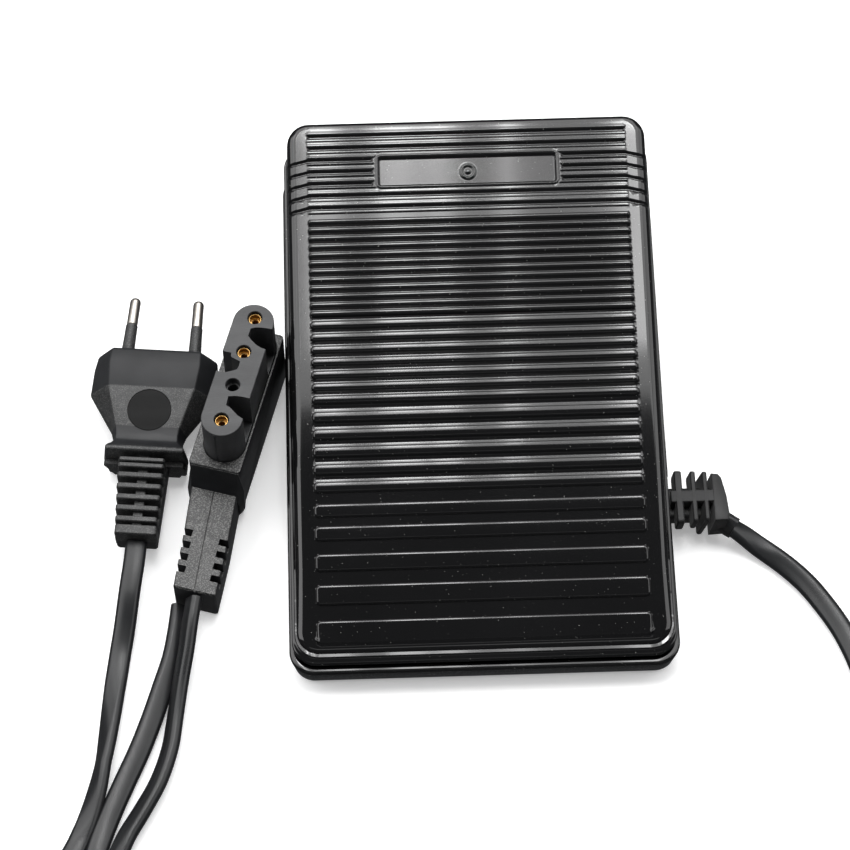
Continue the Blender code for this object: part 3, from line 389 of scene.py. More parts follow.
def box_mesh(x, y, z):
    """A box given by its three (low, high) spans."""
    bm = bmesh.new()
    bmesh.ops.create_cube(bm, size=1.0)
    centre = Vector(((x[0] + x[1]) / 2, (y[0] + y[1]) / 2, (z[0] + z[1]) / 2))
    size = Vector((x[1] - x[0], y[1] - y[0], z[1] - z[0]))
    bm.transform(Matrix.Translation(centre) @ Matrix.Diagonal((*size, 1.0)))
    return bm


def circle(radius, sides):
    angles = [2 * math.pi * k / sides for k in range(sides)]
    return [(radius * math.cos(angle), radius * math.sin(angle)) for angle in angles]


def turned_mesh(stations, sides=32):
    """A turned piece along +Y from (y, radius) stations."""
    return loft_mesh([[(x, y, z) for x, z in circle(radius, sides)] for y, radius in stations])


def upright_mesh(stations, x, y, sides=32):
    """A turned piece standing on the point (x, y), from (z, radius) stations."""
    return loft_mesh([[(x + across, y + along, z) for across, along in circle(radius, sides)]
                      for z, radius in stations])


def rod_mesh(radius, start, end, sides=28):
    """A cylinder between two points."""
    start, end = Vector(start), Vector(end)
    bm = bmesh.new()
    bmesh.ops.create_cone(bm, cap_ends=True, segments=sides, radius1=radius, radius2=radius,
                          depth=(end - start).length)
    turn = Vector((0, 0, 1)).rotation_difference(end - start).to_matrix().to_4x4()
    bm.transform(Matrix.Translation((start + end) / 2) @ turn)
    return bm


def post_mesh(radius, x, y, low, high):
    """An upright cylinder on the point (x, y)."""
    return rod_mesh(radius, (x, y, low), (x, y, high))


def arc(cx, cy, radius, first, sweep, steps):
    """Points round an arc; its first angle and its sweep are in degrees."""
    angles = [math.radians(first + sweep * step / steps) for step in range(steps + 1)]
    return [(cx + radius * math.cos(angle), cy + radius * math.sin(angle)) for angle in angles]


def rounded_rectangle(half_w, y_low, y_high, radius, steps=8):
    """Plan outline with round corners, counterclockwise from the toe-right corner."""
    side, toe, heel = half_w - radius, y_high - radius, y_low + radius
    points = []
    for cx, cy, first in ((side, toe, 0), (-side, toe, 90), (-side, heel, 180), (side, heel, 270)):
        points += arc(cx, cy, radius, first, 90, steps)
    return points


def ring(outline, height):
    """Lift a plan outline to a height that may depend on y."""
    return [(x, y, height(y) if callable(height) else height) for x, y in outline]


def merge(*meshes):
    """One bmesh that holds several separate solids."""
    whole = bmesh.new()
    for bm in meshes:
        part = bpy.data.meshes.new("part")
        bm.to_mesh(part)
        bm.free()
        whole.from_mesh(part)
        bpy.data.meshes.remove(part)
    return whole


def path_length(points):
    return sum((Vector(q) - Vector(p)).length for p, q in zip(points, points[1:]))


def smooth_path(route, spacing):
    """Points about one spacing apart on a centripetal curve through the route."""
    knots = [Vector(point) for point in route]
    knots = [2 * knots[0] - knots[1]] + knots + [2 * knots[-1] - knots[-2]]
    dense = []
    for a, b, c, d in zip(knots, knots[1:], knots[2:], knots[3:]):
        t1 = (b - a).length ** 0.5
        t2 = t1 + (c - b).length ** 0.5
        t3 = t2 + (d - c).length ** 0.5
        for step in range(16):
            t = t1 + (t2 - t1) * step / 16
            a1 = a * ((t1 - t) / t1) + b * (t / t1)
            a2 = b * ((t2 - t) / (t2 - t1)) + c * ((t - t1) / (t2 - t1))
            a3 = c * ((t3 - t) / (t3 - t2)) + d * ((t - t2) / (t3 - t2))
            b1 = a1 * ((t2 - t) / t2) + a2 * (t / t2)
            b2 = a2 * ((t3 - t) / (t3 - t1)) + a3 * ((t - t1) / (t3 - t1))
            dense.append(b1 * ((t2 - t) / (t2 - t1)) + b2 * ((t - t1) / (t2 - t1)))
    dense.append(knots[-2])
    length = path_length(dense)
    count = max(2, round(length / spacing))
    picked, walked, target = [dense[0]], 0.0, length / count
    for p, q in zip(dense, dense[1:]):
        step = (q - p).length
        while walked + step >= target and len(picked) < count:
            picked.append(p.lerp(q, (target - walked) / step))
            target += length / count
        walked += step
    picked.append(dense[-1])
    return picked


def ease(low, high, value):
    """0 below low, 1 above high, smooth between; works on numbers and arrays."""
    t = np.clip((value - low) / (high - low), 0.0, 1.0)
    return t * t * (3 - 2 * t)


# ---------------------------------------------------------------- where the plug and connector lie

PLUG_AT = (-86.1, 22.2)
PLUG_YAW = math.radians(5.3)
PLUG_HALF_H = 7.0
PLUG_END = -56.6
CONNECTOR_AT = (-64.0, 1.5)
CONNECTOR_YAW = math.radians(16.2)
GAP = 0.3


def plug_matrix():
    """From the plug's own frame (pins along +Y, face centre at 0) to where it lies."""
    return (Matrix.Translation((*PLUG_AT, PLUG_HALF_H + GAP))
            @ Euler((0, 0, -PLUG_YAW)).to_matrix().to_4x4())


def connector_matrix():
    return (Matrix.Translation((*CONNECTOR_AT, 0))
            @ Euler((0, 0, -CONNECTOR_YAW)).to_matrix().to_4x4())


# ---------------------------------------------------------------- cords

CORD_HALF_W = 2.9              # two cores side by side
CORD_HALF_H = 1.7
CORD_VALLEY = 0.16             # depth of the hollow between the cores
CORD_LIE = 2.9                 # height of the routes' points where they lie on the floor
COIL_TRACKS = (34.0, 29.8)     # radii of the outer and the inner turns
COIL_LAYERS = (3.1, 8.9, 14.7)
COIL_RUN_R = 40.8              # where the cord passes the coil on the floor
COIL_SPARE_TURNS = 5
MAINS_COIL = (-142.0, -176.0)
PEDAL_COIL = (-50.0, -174.0)


def plug_exit():
    """Where the mains cord leaves the plug, and a point further along the same line."""
    matrix = plug_matrix()
    return [tuple(matrix @ Vector((0, y, 0))) for y in (PLUG_END - GAP, PLUG_END - 6.0)]


def lying(*points):
    """Route points on the floor."""
    return [(x, y, CORD_LIE) for x, y in points]


MAINS_FROM_PLUG = plug_exit() + [
    (-92.8, -46.4, 6.5), (-93.6, -52.0, 5.4), (-94.5, -58.0, 4.1), (-95.6, -64.6, 3.1)
] + lying((-96.7, -73.0), (-97.9, -84.0), (-99.3, -95.0), (-101.3, -104.8), (-104.0, -113.4),
          (-107.8, -121.2), (-114.5, -129.0), (-124.0, -134.2), (-134.0, -136.0),
          (-142.0, -135.2))
MAINS_FROM_CONNECTOR = lying(
    (-79.6, -51.2), (-80.4, -58.0), (-81.8, -66.0), (-84.2, -74.0), (-87.0, -83.0),
    (-90.2, -92.0), (-94.0, -101.0), (-97.6, -110.0), (-100.6, -119.0), (-103.0, -130.0),
    (-104.0, -143.0), (-103.5, -156.0), (-101.9, -168.0))
PEDAL_FROM_CONNECTOR = [
    (-75.8, -52.0, 8.9), (-76.8, -58.0, 8.2), (-78.0, -66.0, 6.4), (-79.5, -74.0, 4.6),
    (-80.9, -83.0, 3.2)
] + lying((-82.3, -92.0), (-85.2, -101.0), (-89.2, -108.7), (-93.7, -116.8), (-97.0, -127.0),
          (-97.8, -141.0), (-95.4, -156.0), (-92.2, -168.0), (-90.8, -176.0))
PEDAL_FROM_PEDAL = [
    (68.0, -34.0, 5.2), (71.3, -36.0, 4.3), (74.9, -38.7, 3.5), (78.4, -41.5, 3.0)
] + lying((82.2, -45.0), (86.3, -49.6), (90.2, -55.4), (94.9, -64.2), (98.6, -75.5),
          (100.6, -90.0), (100.6, -108.0), (98.2, -127.0), (91.5, -145.0), (79.5, -162.0),
          (61.5, -179.0), (38.0, -194.0), (10.0, -205.5), (-18.0, -212.5), (-43.0, -214.9))


def coil_turns(centre, enter, leave):
    """Clockwise turns between two runs on the floor: in at one bearing, out at the other."""
    first = math.atan2(enter[1] - centre[1], enter[0] - centre[0])
    last = math.atan2(leave[1] - centre[1], leave[0] - centre[0])
    sweep = (first - last) % (2 * math.pi) + COIL_SPARE_TURNS * 2 * math.pi
    outer, inner = COIL_TRACKS
    low, middle, top = COIL_LAYERS
    tracks = [(outer, low), (inner, low), (inner, middle), (outer, middle), (inner, top),
              (outer, top)]
    keys = [(0.0, COIL_RUN_R, CORD_LIE), (math.radians(50), *tracks[0])]
    for turn, (radius, height) in enumerate(tracks[1:], 1):
        keys.append((2 * math.pi * turn - math.radians(55), *tracks[turn - 1]))
        keys.append((2 * math.pi * turn, radius, height))
    slide = sweep - math.radians(110)
    keys = [key for key in keys if key[0] < slide - 0.2]
    keys.append((slide, *keys[-1][1:]))
    keys.append((sweep - math.radians(28), COIL_RUN_R + 0.1, CORD_LIE + 0.2))
    keys.append((sweep, COIL_RUN_R, CORD_LIE))
    points = []
    steps = 26 * round(sweep / (2 * math.pi))
    for k in range(1, steps):
        turned = sweep * k / steps
        for a, b in zip(keys, keys[1:]):
            if a[0] <= turned <= b[0]:
                share = ease(a[0], b[0], turned)
                radius = a[1] + (b[1] - a[1]) * share
                height = a[2] + (b[2] - a[2]) * share
                break
        angle = first - turned
        points.append((centre[0] + radius * math.cos(angle), centre[1] + radius * math.sin(angle),
                       height))
    return points


def flat_section(sides=20):
    """Outline of the two-core jacket, with a shallow valley between the cores."""
    outline = []
    for k in range(sides):
        angle = 2 * math.pi * k / sides
        across = (CORD_HALF_W - CORD_HALF_H) * (1 if math.cos(angle) > 0 else -1)
        if abs(math.cos(angle)) < 1e-6:
            outline.append((0.0, math.sin(angle) * (CORD_HALF_H - CORD_VALLEY)))
        else:
            outline.append((across + CORD_HALF_H * math.cos(angle), CORD_HALF_H * math.sin(angle)))
    return outline


def rolled(ahead, roll):
    """Directions across and through a flat cord that runs ahead, rolled from lying flat."""
    level = ahead.cross(Vector((0, 0, 1))).normalized()
    above = level.cross(ahead)
    return (level * math.cos(roll) + above * math.sin(roll),
            above * math.cos(roll) - level * math.sin(roll))


def flat_cord(name, start, centre, finish_run, twists, **facts):
    """One cord from its start run through its coil to its other run.

    twists: (distance from the start, degrees), with a negative distance counted from the end;
    0 lies flat on the floor and 90 stands on its edge.
    """
    turns = coil_turns(centre, start[-1], finish_run[-1])
    path = smooth_path(start + turns + finish_run[::-1], 1.5)
    walked = [0.0]
    for p, q in zip(path, path[1:]):
        walked.append(walked[-1] + (q - p).length)
    length = walked[-1]
    entry, leave = path_length(start), length - path_length(finish_run)
    keys = [(at if at >= 0 else length + at, angle) for at, angle in twists]
    keys += [(entry - 45, 0), (entry + 12, 90), (leave - 12, 90), (leave + 45, 0)]
    keys.sort()
    angles = np.radians(np.interp(walked, [key[0] for key in keys], [key[1] for key in keys]))
    rings, centreline = [], []
    for i, (point, roll) in enumerate(zip(path, angles.tolist())):
        ahead = (path[min(i + 1, len(path) - 1)] - path[max(i - 1, 0)]).normalized()
        on_floor = 1.0 - min(max((point.z - CORD_LIE) / 3.0, 0.0), 1.0)
        rest = CORD_HALF_H + (CORD_HALF_W - CORD_HALF_H) * abs(math.sin(roll)) + 0.05
        middle = point + Vector((0, 0, (rest - CORD_LIE) * on_floor))
        wide, thin = rolled(ahead, roll)
        rings.append([middle + wide * x + thin * y for x, y in flat_section()])
        centreline.append(middle)
    made = place(name, loft_mesh(rings), "cord_grey", "base", replaces=facts.pop("stands_for"),
                 angle=60)
    return made


TIE_HALF_W = 3.0
TIE_THICK = 0.7
TIE_CORNER = 2.6


def coil_tie(name, centre, bearing):
    """Strap round the bundle of turns."""
    inner, outer = COIL_TRACKS[1] - 3.0, COIL_TRACKS[0] + 3.0
    half_w, mid = (outer - inner) / 2 + 0.9, (outer + inner) / 2
    low, high = 0.15, COIL_LAYERS[2] + CORD_HALF_W + TIE_THICK
    outline = rounded_rectangle(half_w, low, high, TIE_CORNER, 6)
    narrow = 1 - 0.25 / half_w
    band = loft_mesh([[(x * share, along, z) for x, z in outline] for along, share in (
        (-TIE_HALF_W, narrow), (0.3 - TIE_HALF_W, 1.0), (TIE_HALF_W - 0.3, 1.0),
        (TIE_HALF_W, narrow))])
    turn = (Matrix.Translation((*centre, 0)) @ Matrix.Rotation(bearing, 4, "Z")
            @ Matrix.Translation((mid, 0, 0)))
    made = place(name, band, "switch_black", "base", matrix=turn)
    across, tall = 1 - (TIE_THICK + 0.05) / half_w, 1 - 2 * TIE_THICK / (high - low)
    hole = loft_mesh([[(x * across, along, low + TIE_THICK + (z - low) * tall)
                       for x, z in outline] for along in (-6.0, 6.0)])
    hole.transform(turn)
    combine(made, "DIFFERENCE", [hole])
    return smooth(made, 40)


# ---------------------------------------------------------------- pedal shells

BASE_HALF_W = 51.0
BASE_HALF_L = 74.6
BASE_CORNER = 6.6
BASE_BOTTOM = 0.8
BASE_DRAFT = 1.0               # how far the tray's wall leans in at the floor
BASE_EDGE = 1.6                # radius of its lower edge
BASE_LIP = 0.8                 # radius of its rim
BASE_WALL = 2.0
FLOOR_TOP = 3.0
RIM_HEEL = 8.3
RIM_TOE = 18.5
LID_HEEL_Y = -68.9
LID_HEEL_Z = 12.6
LID_SLOPE = 0.2283
LID_THICK = 2.2
FLANGE_HEEL_Y = -73.0
FLANGE_TOE_Y = 74.4
FLANGE_HALF_W = 50.2
FLANGE_THICK = 1.1
FLANGE_HEEL_Z = 9.6
FLANGE_TOE_Z = 31.0
SKIRT_HALF_W = 48.0
SKIRT_HEEL_Y = -71.3
SKIRT_TOE_Y = 70.8
SKIRT_HEEL_Z = 6.0
SKIRT_TOE_Z = 17.0

HINGE_X = 37.0
HINGE_Y = -61.0
HINGE_Z = 8.0
HINGE_HOLE_R = 1.55
SPRING_X = 40.0
SPRING_Y = 38.0
SPRING_STUB_R = 1.9            # slim enough to swing inside the spring
BUMPER_X = 42.0
BUMPER_Y = 60.0
BUMPER_SEAT_TOP = 23.0
BOARD_POST_X = 26.0
BOARD_POST_Y = (18.0, 58.0)
BOARD_SEAT_TOP = 8.0
SWITCH_X = -24.0
SWITCH_POST_Y = (-41.2, -17.8)
CLAMP_X = 35.0
CLAMP_REACH = 9.0
CLAMP_SEAT_TOP = 9.2
POT_WALL = ((4.8, 6.3), (-3.0, 11.5), 17.2)         # x and y spans, top
PINION_AT = (2.96, 12.2)
RACK_BLOCK = ((-6.0, -0.4), (-10.5, -4.8), 16.5)    # x and y spans, underside
SWITCH_PEG_Y = (-22.0, -19.0)
SWITCH_PEG_END = 18.1

RIB_HALF_W = 43.5
RIB_HEIGHT = 0.62
RIB_EDGE = 0.62                # rounding of a rib's edges
RIB_CORNER = 1.1               # its corners seen from above
RIB_SWELL = 0.09               # how far the tops of the narrow ribs bulge
HEEL_SWELL = 0.03
WIDE_RIB = 3.0                 # from this width on a rib counts as a broad heel bar
VALLEY_DEPTH = 0.22
WIDE_VALLEY = 2.4              # from this width on the floor between ribs is flat
GROOVE_FIRST_Y = 69.2
GROOVE_PITCH = 3.37
GROOVE_COUNT = 7
SHORT_GROOVES = 2              # the first rows stop short of the rounded edge
GROOVE_HALF_W = 0.62
GROOVE_DEPTH = 0.5
GROOVE_BEND = (42.5, 47.5, 0.9)     # where the long grooves bend toward the heel, and by how much
GROOVE_LIP = (0.95, 0.3, 0.12)      # distance out, width and height of the lips
RIB_ROWS = [                   # first row, pitch, count, rib width
    (45.8, 2.31, 12, 1.5),
    (17.6, 3.39, 7, 2.2),
    (-7.1, 4.70, 5, 2.8),
]
HEEL_BARS = [(-31.8, 3.4), (-37.7, 3.7), (-45.0, 4.4), (-53.1, 5.1), (-62.4, 6.1)]
PANEL_HALF_W = 24.3
PANEL_Y = (54.9, 63.1)
PANEL_CORNER = 1.0
PANEL_DEPTH = 0.6
PANEL_LIP = (0.35, 0.28, 0.16)
PANEL_LAND = 1.2               # plain strip between the panel and the ends of the grooves
DIMPLE = (0.2, 58.7)
DIMPLE_RING = (1.8, 0.36, 0.22)
DIMPLE_DOT = (1.1, 0.20)       # radius and height of the dot in the ring


def rim_height(y):
    return RIM_HEEL + (RIM_TOE - RIM_HEEL) * (y + BASE_HALF_L) / (2 * BASE_HALF_L)


def tread_height(y):
    return LID_HEEL_Z + LID_SLOPE * (y - LID_HEEL_Y)


def flange_height(y):
    span = FLANGE_TOE_Y - FLANGE_HEEL_Y
    return FLANGE_HEEL_Z + (FLANGE_TOE_Z - FLANGE_HEEL_Z) * (y - FLANGE_HEEL_Y) / span


def skirt_height(y):
    span = SKIRT_TOE_Y - SKIRT_HEEL_Y
    return SKIRT_HEEL_Z + (SKIRT_TOE_Z - SKIRT_HEEL_Z) * (y - SKIRT_HEEL_Y) / span


def ceiling(y):
    return tread_height(y) - LID_THICK


def cord_entry_y():
    """Where along the side the pedal cord enters."""
    low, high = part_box("strain_relief")
    return (low.y + high.y) / 2 / MM


def tread_bars():
    """Every rib of the tread as (heel edge, toe edge) along y."""
    bars = [(first - row * pitch, width) for first, pitch, count, width in RIB_ROWS
            for row in range(count)]
    return [(top - width, top) for top, width in bars + HEEL_BARS]


def valleys():
    """The hollows between neighbouring narrow ribs as (middle, half width) along y."""
    bars = tread_bars()
    gaps = [(lower[1], upper[0]) for upper, lower in zip(bars, bars[1:])]
    return [((low + high) / 2, (high - low) / 2) for low, high in gaps
            if high - low < WIDE_VALLEY]


def groove_rows():
    return [GROOVE_FIRST_Y - row * GROOVE_PITCH for row in range(GROOVE_COUNT)]


def plate_distance(x, y, half_w, y_low, y_high, radius):
    """Signed distance to a rounded rectangle, negative inside."""
    middle, half_h = (y_low + y_high) / 2, (y_high - y_low) / 2
    dx = np.abs(x) - (half_w - radius)
    dy = np.abs(y - middle) - (half_h - radius)
    outside = np.hypot(np.maximum(dx, 0), np.maximum(dy, 0))
    return outside + np.minimum(np.maximum(dx, dy), 0) - radius


def groove_share(y, centre):
    """Cross-section of a groove with rounded lips: 1 at its bottom, 0 outside."""
    return 1.0 - ease(0.12, GROOVE_HALF_W, np.abs(y - centre))


def ridge(distance, shape):
    """A rounded ridge; shape is its distance out, width and height."""
    out, width, height = shape
    return height * np.exp(-((distance - out) / width) ** 2)


def tread_relief(x, y):
    """Height of the tread's ribs, grooves and panel above its sloping plane."""
    relief = np.zeros_like(x)
    for y_low, y_high in tread_bars():
        width = y_high - y_low
        corner = min(width / 2, RIB_CORNER)
        inside = -plate_distance(x, y, RIB_HALF_W, y_low, y_high, corner)
        edge = min(RIB_EDGE, width * 0.42)
        t = np.clip((inside + 0.1) / edge, 0.0, 1.0)
        relief += RIB_HEIGHT * np.sqrt(np.clip(1 - (1 - t) ** 2, 0, 1)) * (t > 0)
        swell = RIB_SWELL if width < WIDE_RIB else HEEL_SWELL
        across = np.clip((y - (y_low + y_high) / 2) / (width / 2), -1.0, 1.0)
        relief += swell * (1 - across ** 2) * ease(0.0, 0.6, inside)
    along = 1 - ease(RIB_HALF_W - 0.6, RIB_HALF_W + 0.1, np.abs(x))
    for middle, half in valleys():
        across = np.clip((y - middle) / half, -1.0, 1.0)
        relief -= VALLEY_DEPTH * (1 - across ** 2) * along
    panel = plate_distance(x, y, PANEL_HALF_W, *PANEL_Y, PANEL_CORNER)
    bend_from, bend_to, bend_most = GROOVE_BEND
    for row, centre in enumerate(groove_rows()):
        bend = 0.0 if row < SHORT_GROOVES else bend_most * ease(bend_from, bend_to, np.abs(x))
        depth = groove_share(y, centre - bend)
        if row < SHORT_GROOVES:
            depth = depth * (1 - ease(RIB_HALF_W - 0.8, RIB_HALF_W, np.abs(x)))
        else:
            depth = depth * ease(PANEL_LAND, PANEL_LAND + 0.7, panel)
        lips = ridge(np.abs(y - centre + bend), GROOVE_LIP)
        relief += lips * (np.abs(x) < RIB_HALF_W) * ease(PANEL_LAND - 0.3, PANEL_LAND, panel)
        relief -= GROOVE_DEPTH * depth
    inside = 1 - ease(-0.55, 0.0, panel)
    relief += ridge(panel, PANEL_LIP)
    relief = relief * (1 - inside) - PANEL_DEPTH * inside
    from_dimple = np.hypot(x - DIMPLE[0], y - DIMPLE[1])
    dot_r, dot_height = DIMPLE_DOT
    relief += ridge(from_dimple, DIMPLE_RING)
    return relief + dot_height * (1 - ease(0.2, dot_r, from_dimple))


def sample_line(low, high, coarse, features):
    """Sorted samples from low to high: features and an even filling no wider than coarse."""
    marks = sorted({round(f, 4) for f in features if low < f < high} | {low, high})
    samples = [marks[0]]
    for mark in marks[1:]:
        gap = mark - samples[-1]
        if gap < 0.04 and mark != high:
            continue
        pieces = max(1, math.ceil(gap / coarse))
        start = samples[-1]
        samples += [start + gap * k / pieces for k in range(1, pieces + 1)]
    return samples


CROWN_INSET = 2.4              # how far its rounded edge reaches in, and down where it can
CROWN_CORNER = 6.0
CROWN_HALF_W = 48.9
CROWN_Y = (-70.4, 73.9)
FLANGE_OUTSET = 1.6
FLANGE_PROFILE = [             # outset beyond the crown's outline, height above the underside
    (0.55, FLANGE_THICK + 0.17), (0.8, FLANGE_THICK + 0.02), (1.15, FLANGE_THICK),
    (1.40, FLANGE_THICK - 0.08), (1.58, FLANGE_THICK - 0.35), (FLANGE_OUTSET, 0.35),
    (1.45, 0.08), (1.2, 0.0)]


def tread_rows():
    y_low, y_high = CROWN_Y[0] + CROWN_INSET, CROWN_Y[1] - CROWN_INSET
    corner = CROWN_CORNER - CROWN_INSET
    features = []
    for low, high in tread_bars():
        for edge, inward in ((low, 1), (high, -1)):
            features += [edge + inward * step
                         for step in (-0.3, -0.12, 0.0, 0.1, 0.22, 0.36, 0.52, 0.72, 0.92, 1.1)
                         if step < (high - low) / 2]
    for middle, half_valley in valleys():
        features += [middle + half_valley * step / 3 for step in range(-2, 3)]
    for centre in groove_rows():
        features += [centre + step * 0.124 for step in range(-7, 8)]
    for edge in PANEL_Y:
        features += [edge + step * 0.11 for step in range(-6, 7)]
    features += [DIMPLE[1] + step * 0.14 for step in range(-20, 21)]
    for k in range(9):
        swing = corner * math.sin(math.radians(90 * k / 8))
        features += [y_high - corner + swing, y_low + corner - swing]
    return sample_line(y_low, y_high, 0.6, features)


def tread_columns():
    """Shares of the half width, from -1 to 1."""
    half = CROWN_HALF_W - CROWN_INSET
    features = []
    for side in (-1, 1):
        features += [side * (RIB_HALF_W - 1.8 + step * 0.14) for step in range(33)]
        features += [side * (PANEL_HALF_W - 1.0 + step * 0.16) for step in range(20)]
        features += [side * (half - step * 0.4) for step in range(6)]
    features += [DIMPLE[0] + step * 0.14 for step in range(-20, 21)]
    return [x / half for x in sample_line(-half, half, 3.0, features)]


def corner_angle(y, y_low, y_high, corner):
    """Angle round a plan corner for a height y in the outline; 0 on the straight side."""
    over = max(y - (y_high - corner), (y_low + corner) - y, 0.0)
    return math.asin(min(over / corner, 1.0))


def lid():
    """The lid as one closed shell: fine tread, rounded edge, wall, flange, skirt and inside."""
    half = CROWN_HALF_W - CROWN_INSET
    y_low, y_high = CROWN_Y[0] + CROWN_INSET, CROWN_Y[1] - CROWN_INSET
    corner = CROWN_CORNER - CROWN_INSET
    rows, columns = tread_rows(), np.array(tread_columns())
    bm = bmesh.new()
    grid = []
    for y in rows:
        angle = corner_angle(y, y_low, y_high, corner)
        reach = half - corner + corner * math.cos(angle)
        x = columns * reach
        z = tread_height(y) + tread_relief(x, np.full_like(x, y))
        grid.append([bm.verts.new((float(a), y, float(b))) for a, b in zip(x, z)])
    last = len(columns) - 1
    for low, high in zip(grid, grid[1:]):
        for i in range(last):
            bm.faces.new((low[i], low[i + 1], high[i + 1], high[i]))

    # The boundary of the grid, each vertex with its place round the outline.
    loop = [(line[last], "side", 1, y) for line, y in zip(grid, rows)]
    loop += [(grid[-1][c], "end", 1, float(columns[c])) for c in range(last - 1, 0, -1)]
    loop += [(line[0], "side", -1, y) for line, y in zip(grid[::-1], rows[::-1])]
    loop += [(grid[0][c], "end", -1, float(columns[c])) for c in range(1, last)]

    straight_low, straight_high = y_low + corner, y_high - corner

    def outline_point(kind, sign, value, half_w, low_y, high_y, radius):
        """The same place on another outline, and the outward direction there."""
        if kind == "end":
            x = value * (half_w - radius)
            return (x, high_y if sign > 0 else low_y), (0.0, float(sign))
        angle = corner_angle(value, y_low, y_high, corner)
        toe = value > (y_low + y_high) / 2
        if angle == 0.0:
            share = (value - straight_low) / (straight_high - straight_low)
            y = low_y + radius + share * (high_y - low_y - 2 * radius)
            return (sign * half_w, y), (float(sign), 0.0)
        centre_y = high_y - radius if toe else low_y + radius
        up = 1.0 if toe else -1.0
        out = (sign * math.cos(angle), up * math.sin(angle))
        centre_x = sign * (half_w - radius)
        return (centre_x + radius * out[0], centre_y + radius * out[1]), out

    def scallop(kind, value):
        """Depth share of the grooves that wrap over the sides."""
        if kind == "end":
            return 0.0
        return sum(float(groove_share(value, y - GROOVE_BEND[2]))
                   for y in groove_rows()[SHORT_GROOVES:])

    def add_ring(half_w, low_y, high_y, radius, height, lean, fade):
        made = []
        for vert, kind, sign, value in loop:
            (x, y), out = outline_point(kind, sign, value, half_w, low_y, high_y, radius)
            dent = GROOVE_DEPTH * scallop(kind, value) * fade
            z = height(y) - dent * math.cos(lean)
            x -= dent * out[0] * math.sin(lean)
            y -= dent * out[1] * math.sin(lean)
            made.append(bm.verts.new((x, y, z)))
        return made

    def shoulder(y):
        return flange_height(y) + FLANGE_THICK + 0.15

    def crown_drop(y):
        return min(CROWN_INSET, 0.85 * (tread_height(y) - shoulder(y)))

    rings = [[entry[0] for entry in loop]]
    for step in range(1, 8):
        lean = math.radians(90 * step / 7)
        inset = CROWN_INSET * (1 - math.sin(lean))
        rings.append(add_ring(
            CROWN_HALF_W - inset, CROWN_Y[0] + inset, CROWN_Y[1] - inset, CROWN_CORNER - inset,
            lambda y, lean=lean: tread_height(y) - crown_drop(y) * (1 - math.cos(lean)), lean, 1.0))
    for share in (0.12, 0.3, 0.55, 0.8, 0.96):
        rings.append(add_ring(
            CROWN_HALF_W + 0.4 * share, CROWN_Y[0] - 0.8 * share, CROWN_Y[1] + 0.2 * share,
            CROWN_CORNER + 0.2 * share,
            lambda y, share=share: (tread_height(y) - crown_drop(y)) * (1 - share)
            + (shoulder(y) + 0.25) * share, math.pi / 2, max(0.0, 1.0 - share * 1.25)))
    for outset, rise in FLANGE_PROFILE:
        share = outset / FLANGE_OUTSET
        rings.append(add_ring(
            CROWN_HALF_W + (FLANGE_HALF_W - CROWN_HALF_W) * share,
            CROWN_Y[0] + (FLANGE_HEEL_Y - CROWN_Y[0]) * share,
            CROWN_Y[1] + (FLANGE_TOE_Y - CROWN_Y[1]) * share, 5.9 + 0.6 * share,
            lambda y, rise=rise: flange_height(y) + rise, 0.0, 0.0))
    for inset, radius, height in (
            (0.0, 4.2, flange_height), (0.0, 4.2, lambda y: skirt_height(y) + 0.4),
            (0.4, 3.8, skirt_height), (1.8, 2.6, skirt_height),
            (1.8, 2.6, lambda y: ceiling(y) - 1.0), (2.8, 2.0, ceiling)):
        rings.append(add_ring(SKIRT_HALF_W - inset, SKIRT_HEEL_Y + inset, SKIRT_TOE_Y - inset,
                              radius, height, 0.0, 0.0))
    skin(bm, rings)
    made = place("lid_shell", bm, "black_abs", "lid", replaces=("lid",), angle=180)
    entry_y = cord_entry_y()
    combine(made, "DIFFERENCE", [box_mesh((SKIRT_HALF_W - 4, SKIRT_HALF_W + 0.8),
                                          (entry_y - 11, entry_y + 11), (0, 14.5))])
    combine(made, "UNION", [lid_fixings()])
    combine(made, "DIFFERENCE", [merge(*hinge_bores(6.0))])
    return smooth(made, 50)


def hinge_bores(reach):
    return [rod_mesh(HINGE_HOLE_R, (side * (HINGE_X - reach), HINGE_Y, HINGE_Z),
                     (side * (HINGE_X + reach), HINGE_Y, HINGE_Z)) for side in (-1, 1)]


def lid_fixings():
    """Hinge knuckles, spring pegs, rack block and switch post under the lid."""
    roof = ceiling(SPRING_Y)
    made = []
    for side in (-1, 1):
        made.append(box_mesh((side * HINGE_X - 2.6, side * HINGE_X + 2.6),
                             (HINGE_Y - 2.2, HINGE_Y + 2.2),
                             (HINGE_Z - 2.4, ceiling(HINGE_Y) + 0.9)))
        made.append(post_mesh(SPRING_STUB_R, side * SPRING_X, SPRING_Y, roof - 3.0, roof + 1.0))
    switch_peg = ((SWITCH_X - 1.5, SWITCH_X + 1.5), SWITCH_PEG_Y, SWITCH_PEG_END)
    for x_span, y_span, end in (RACK_BLOCK, switch_peg):
        made.append(box_mesh(x_span, y_span, (end, tread_height(y_span[0]) - 1.4)))
    return merge(*made)


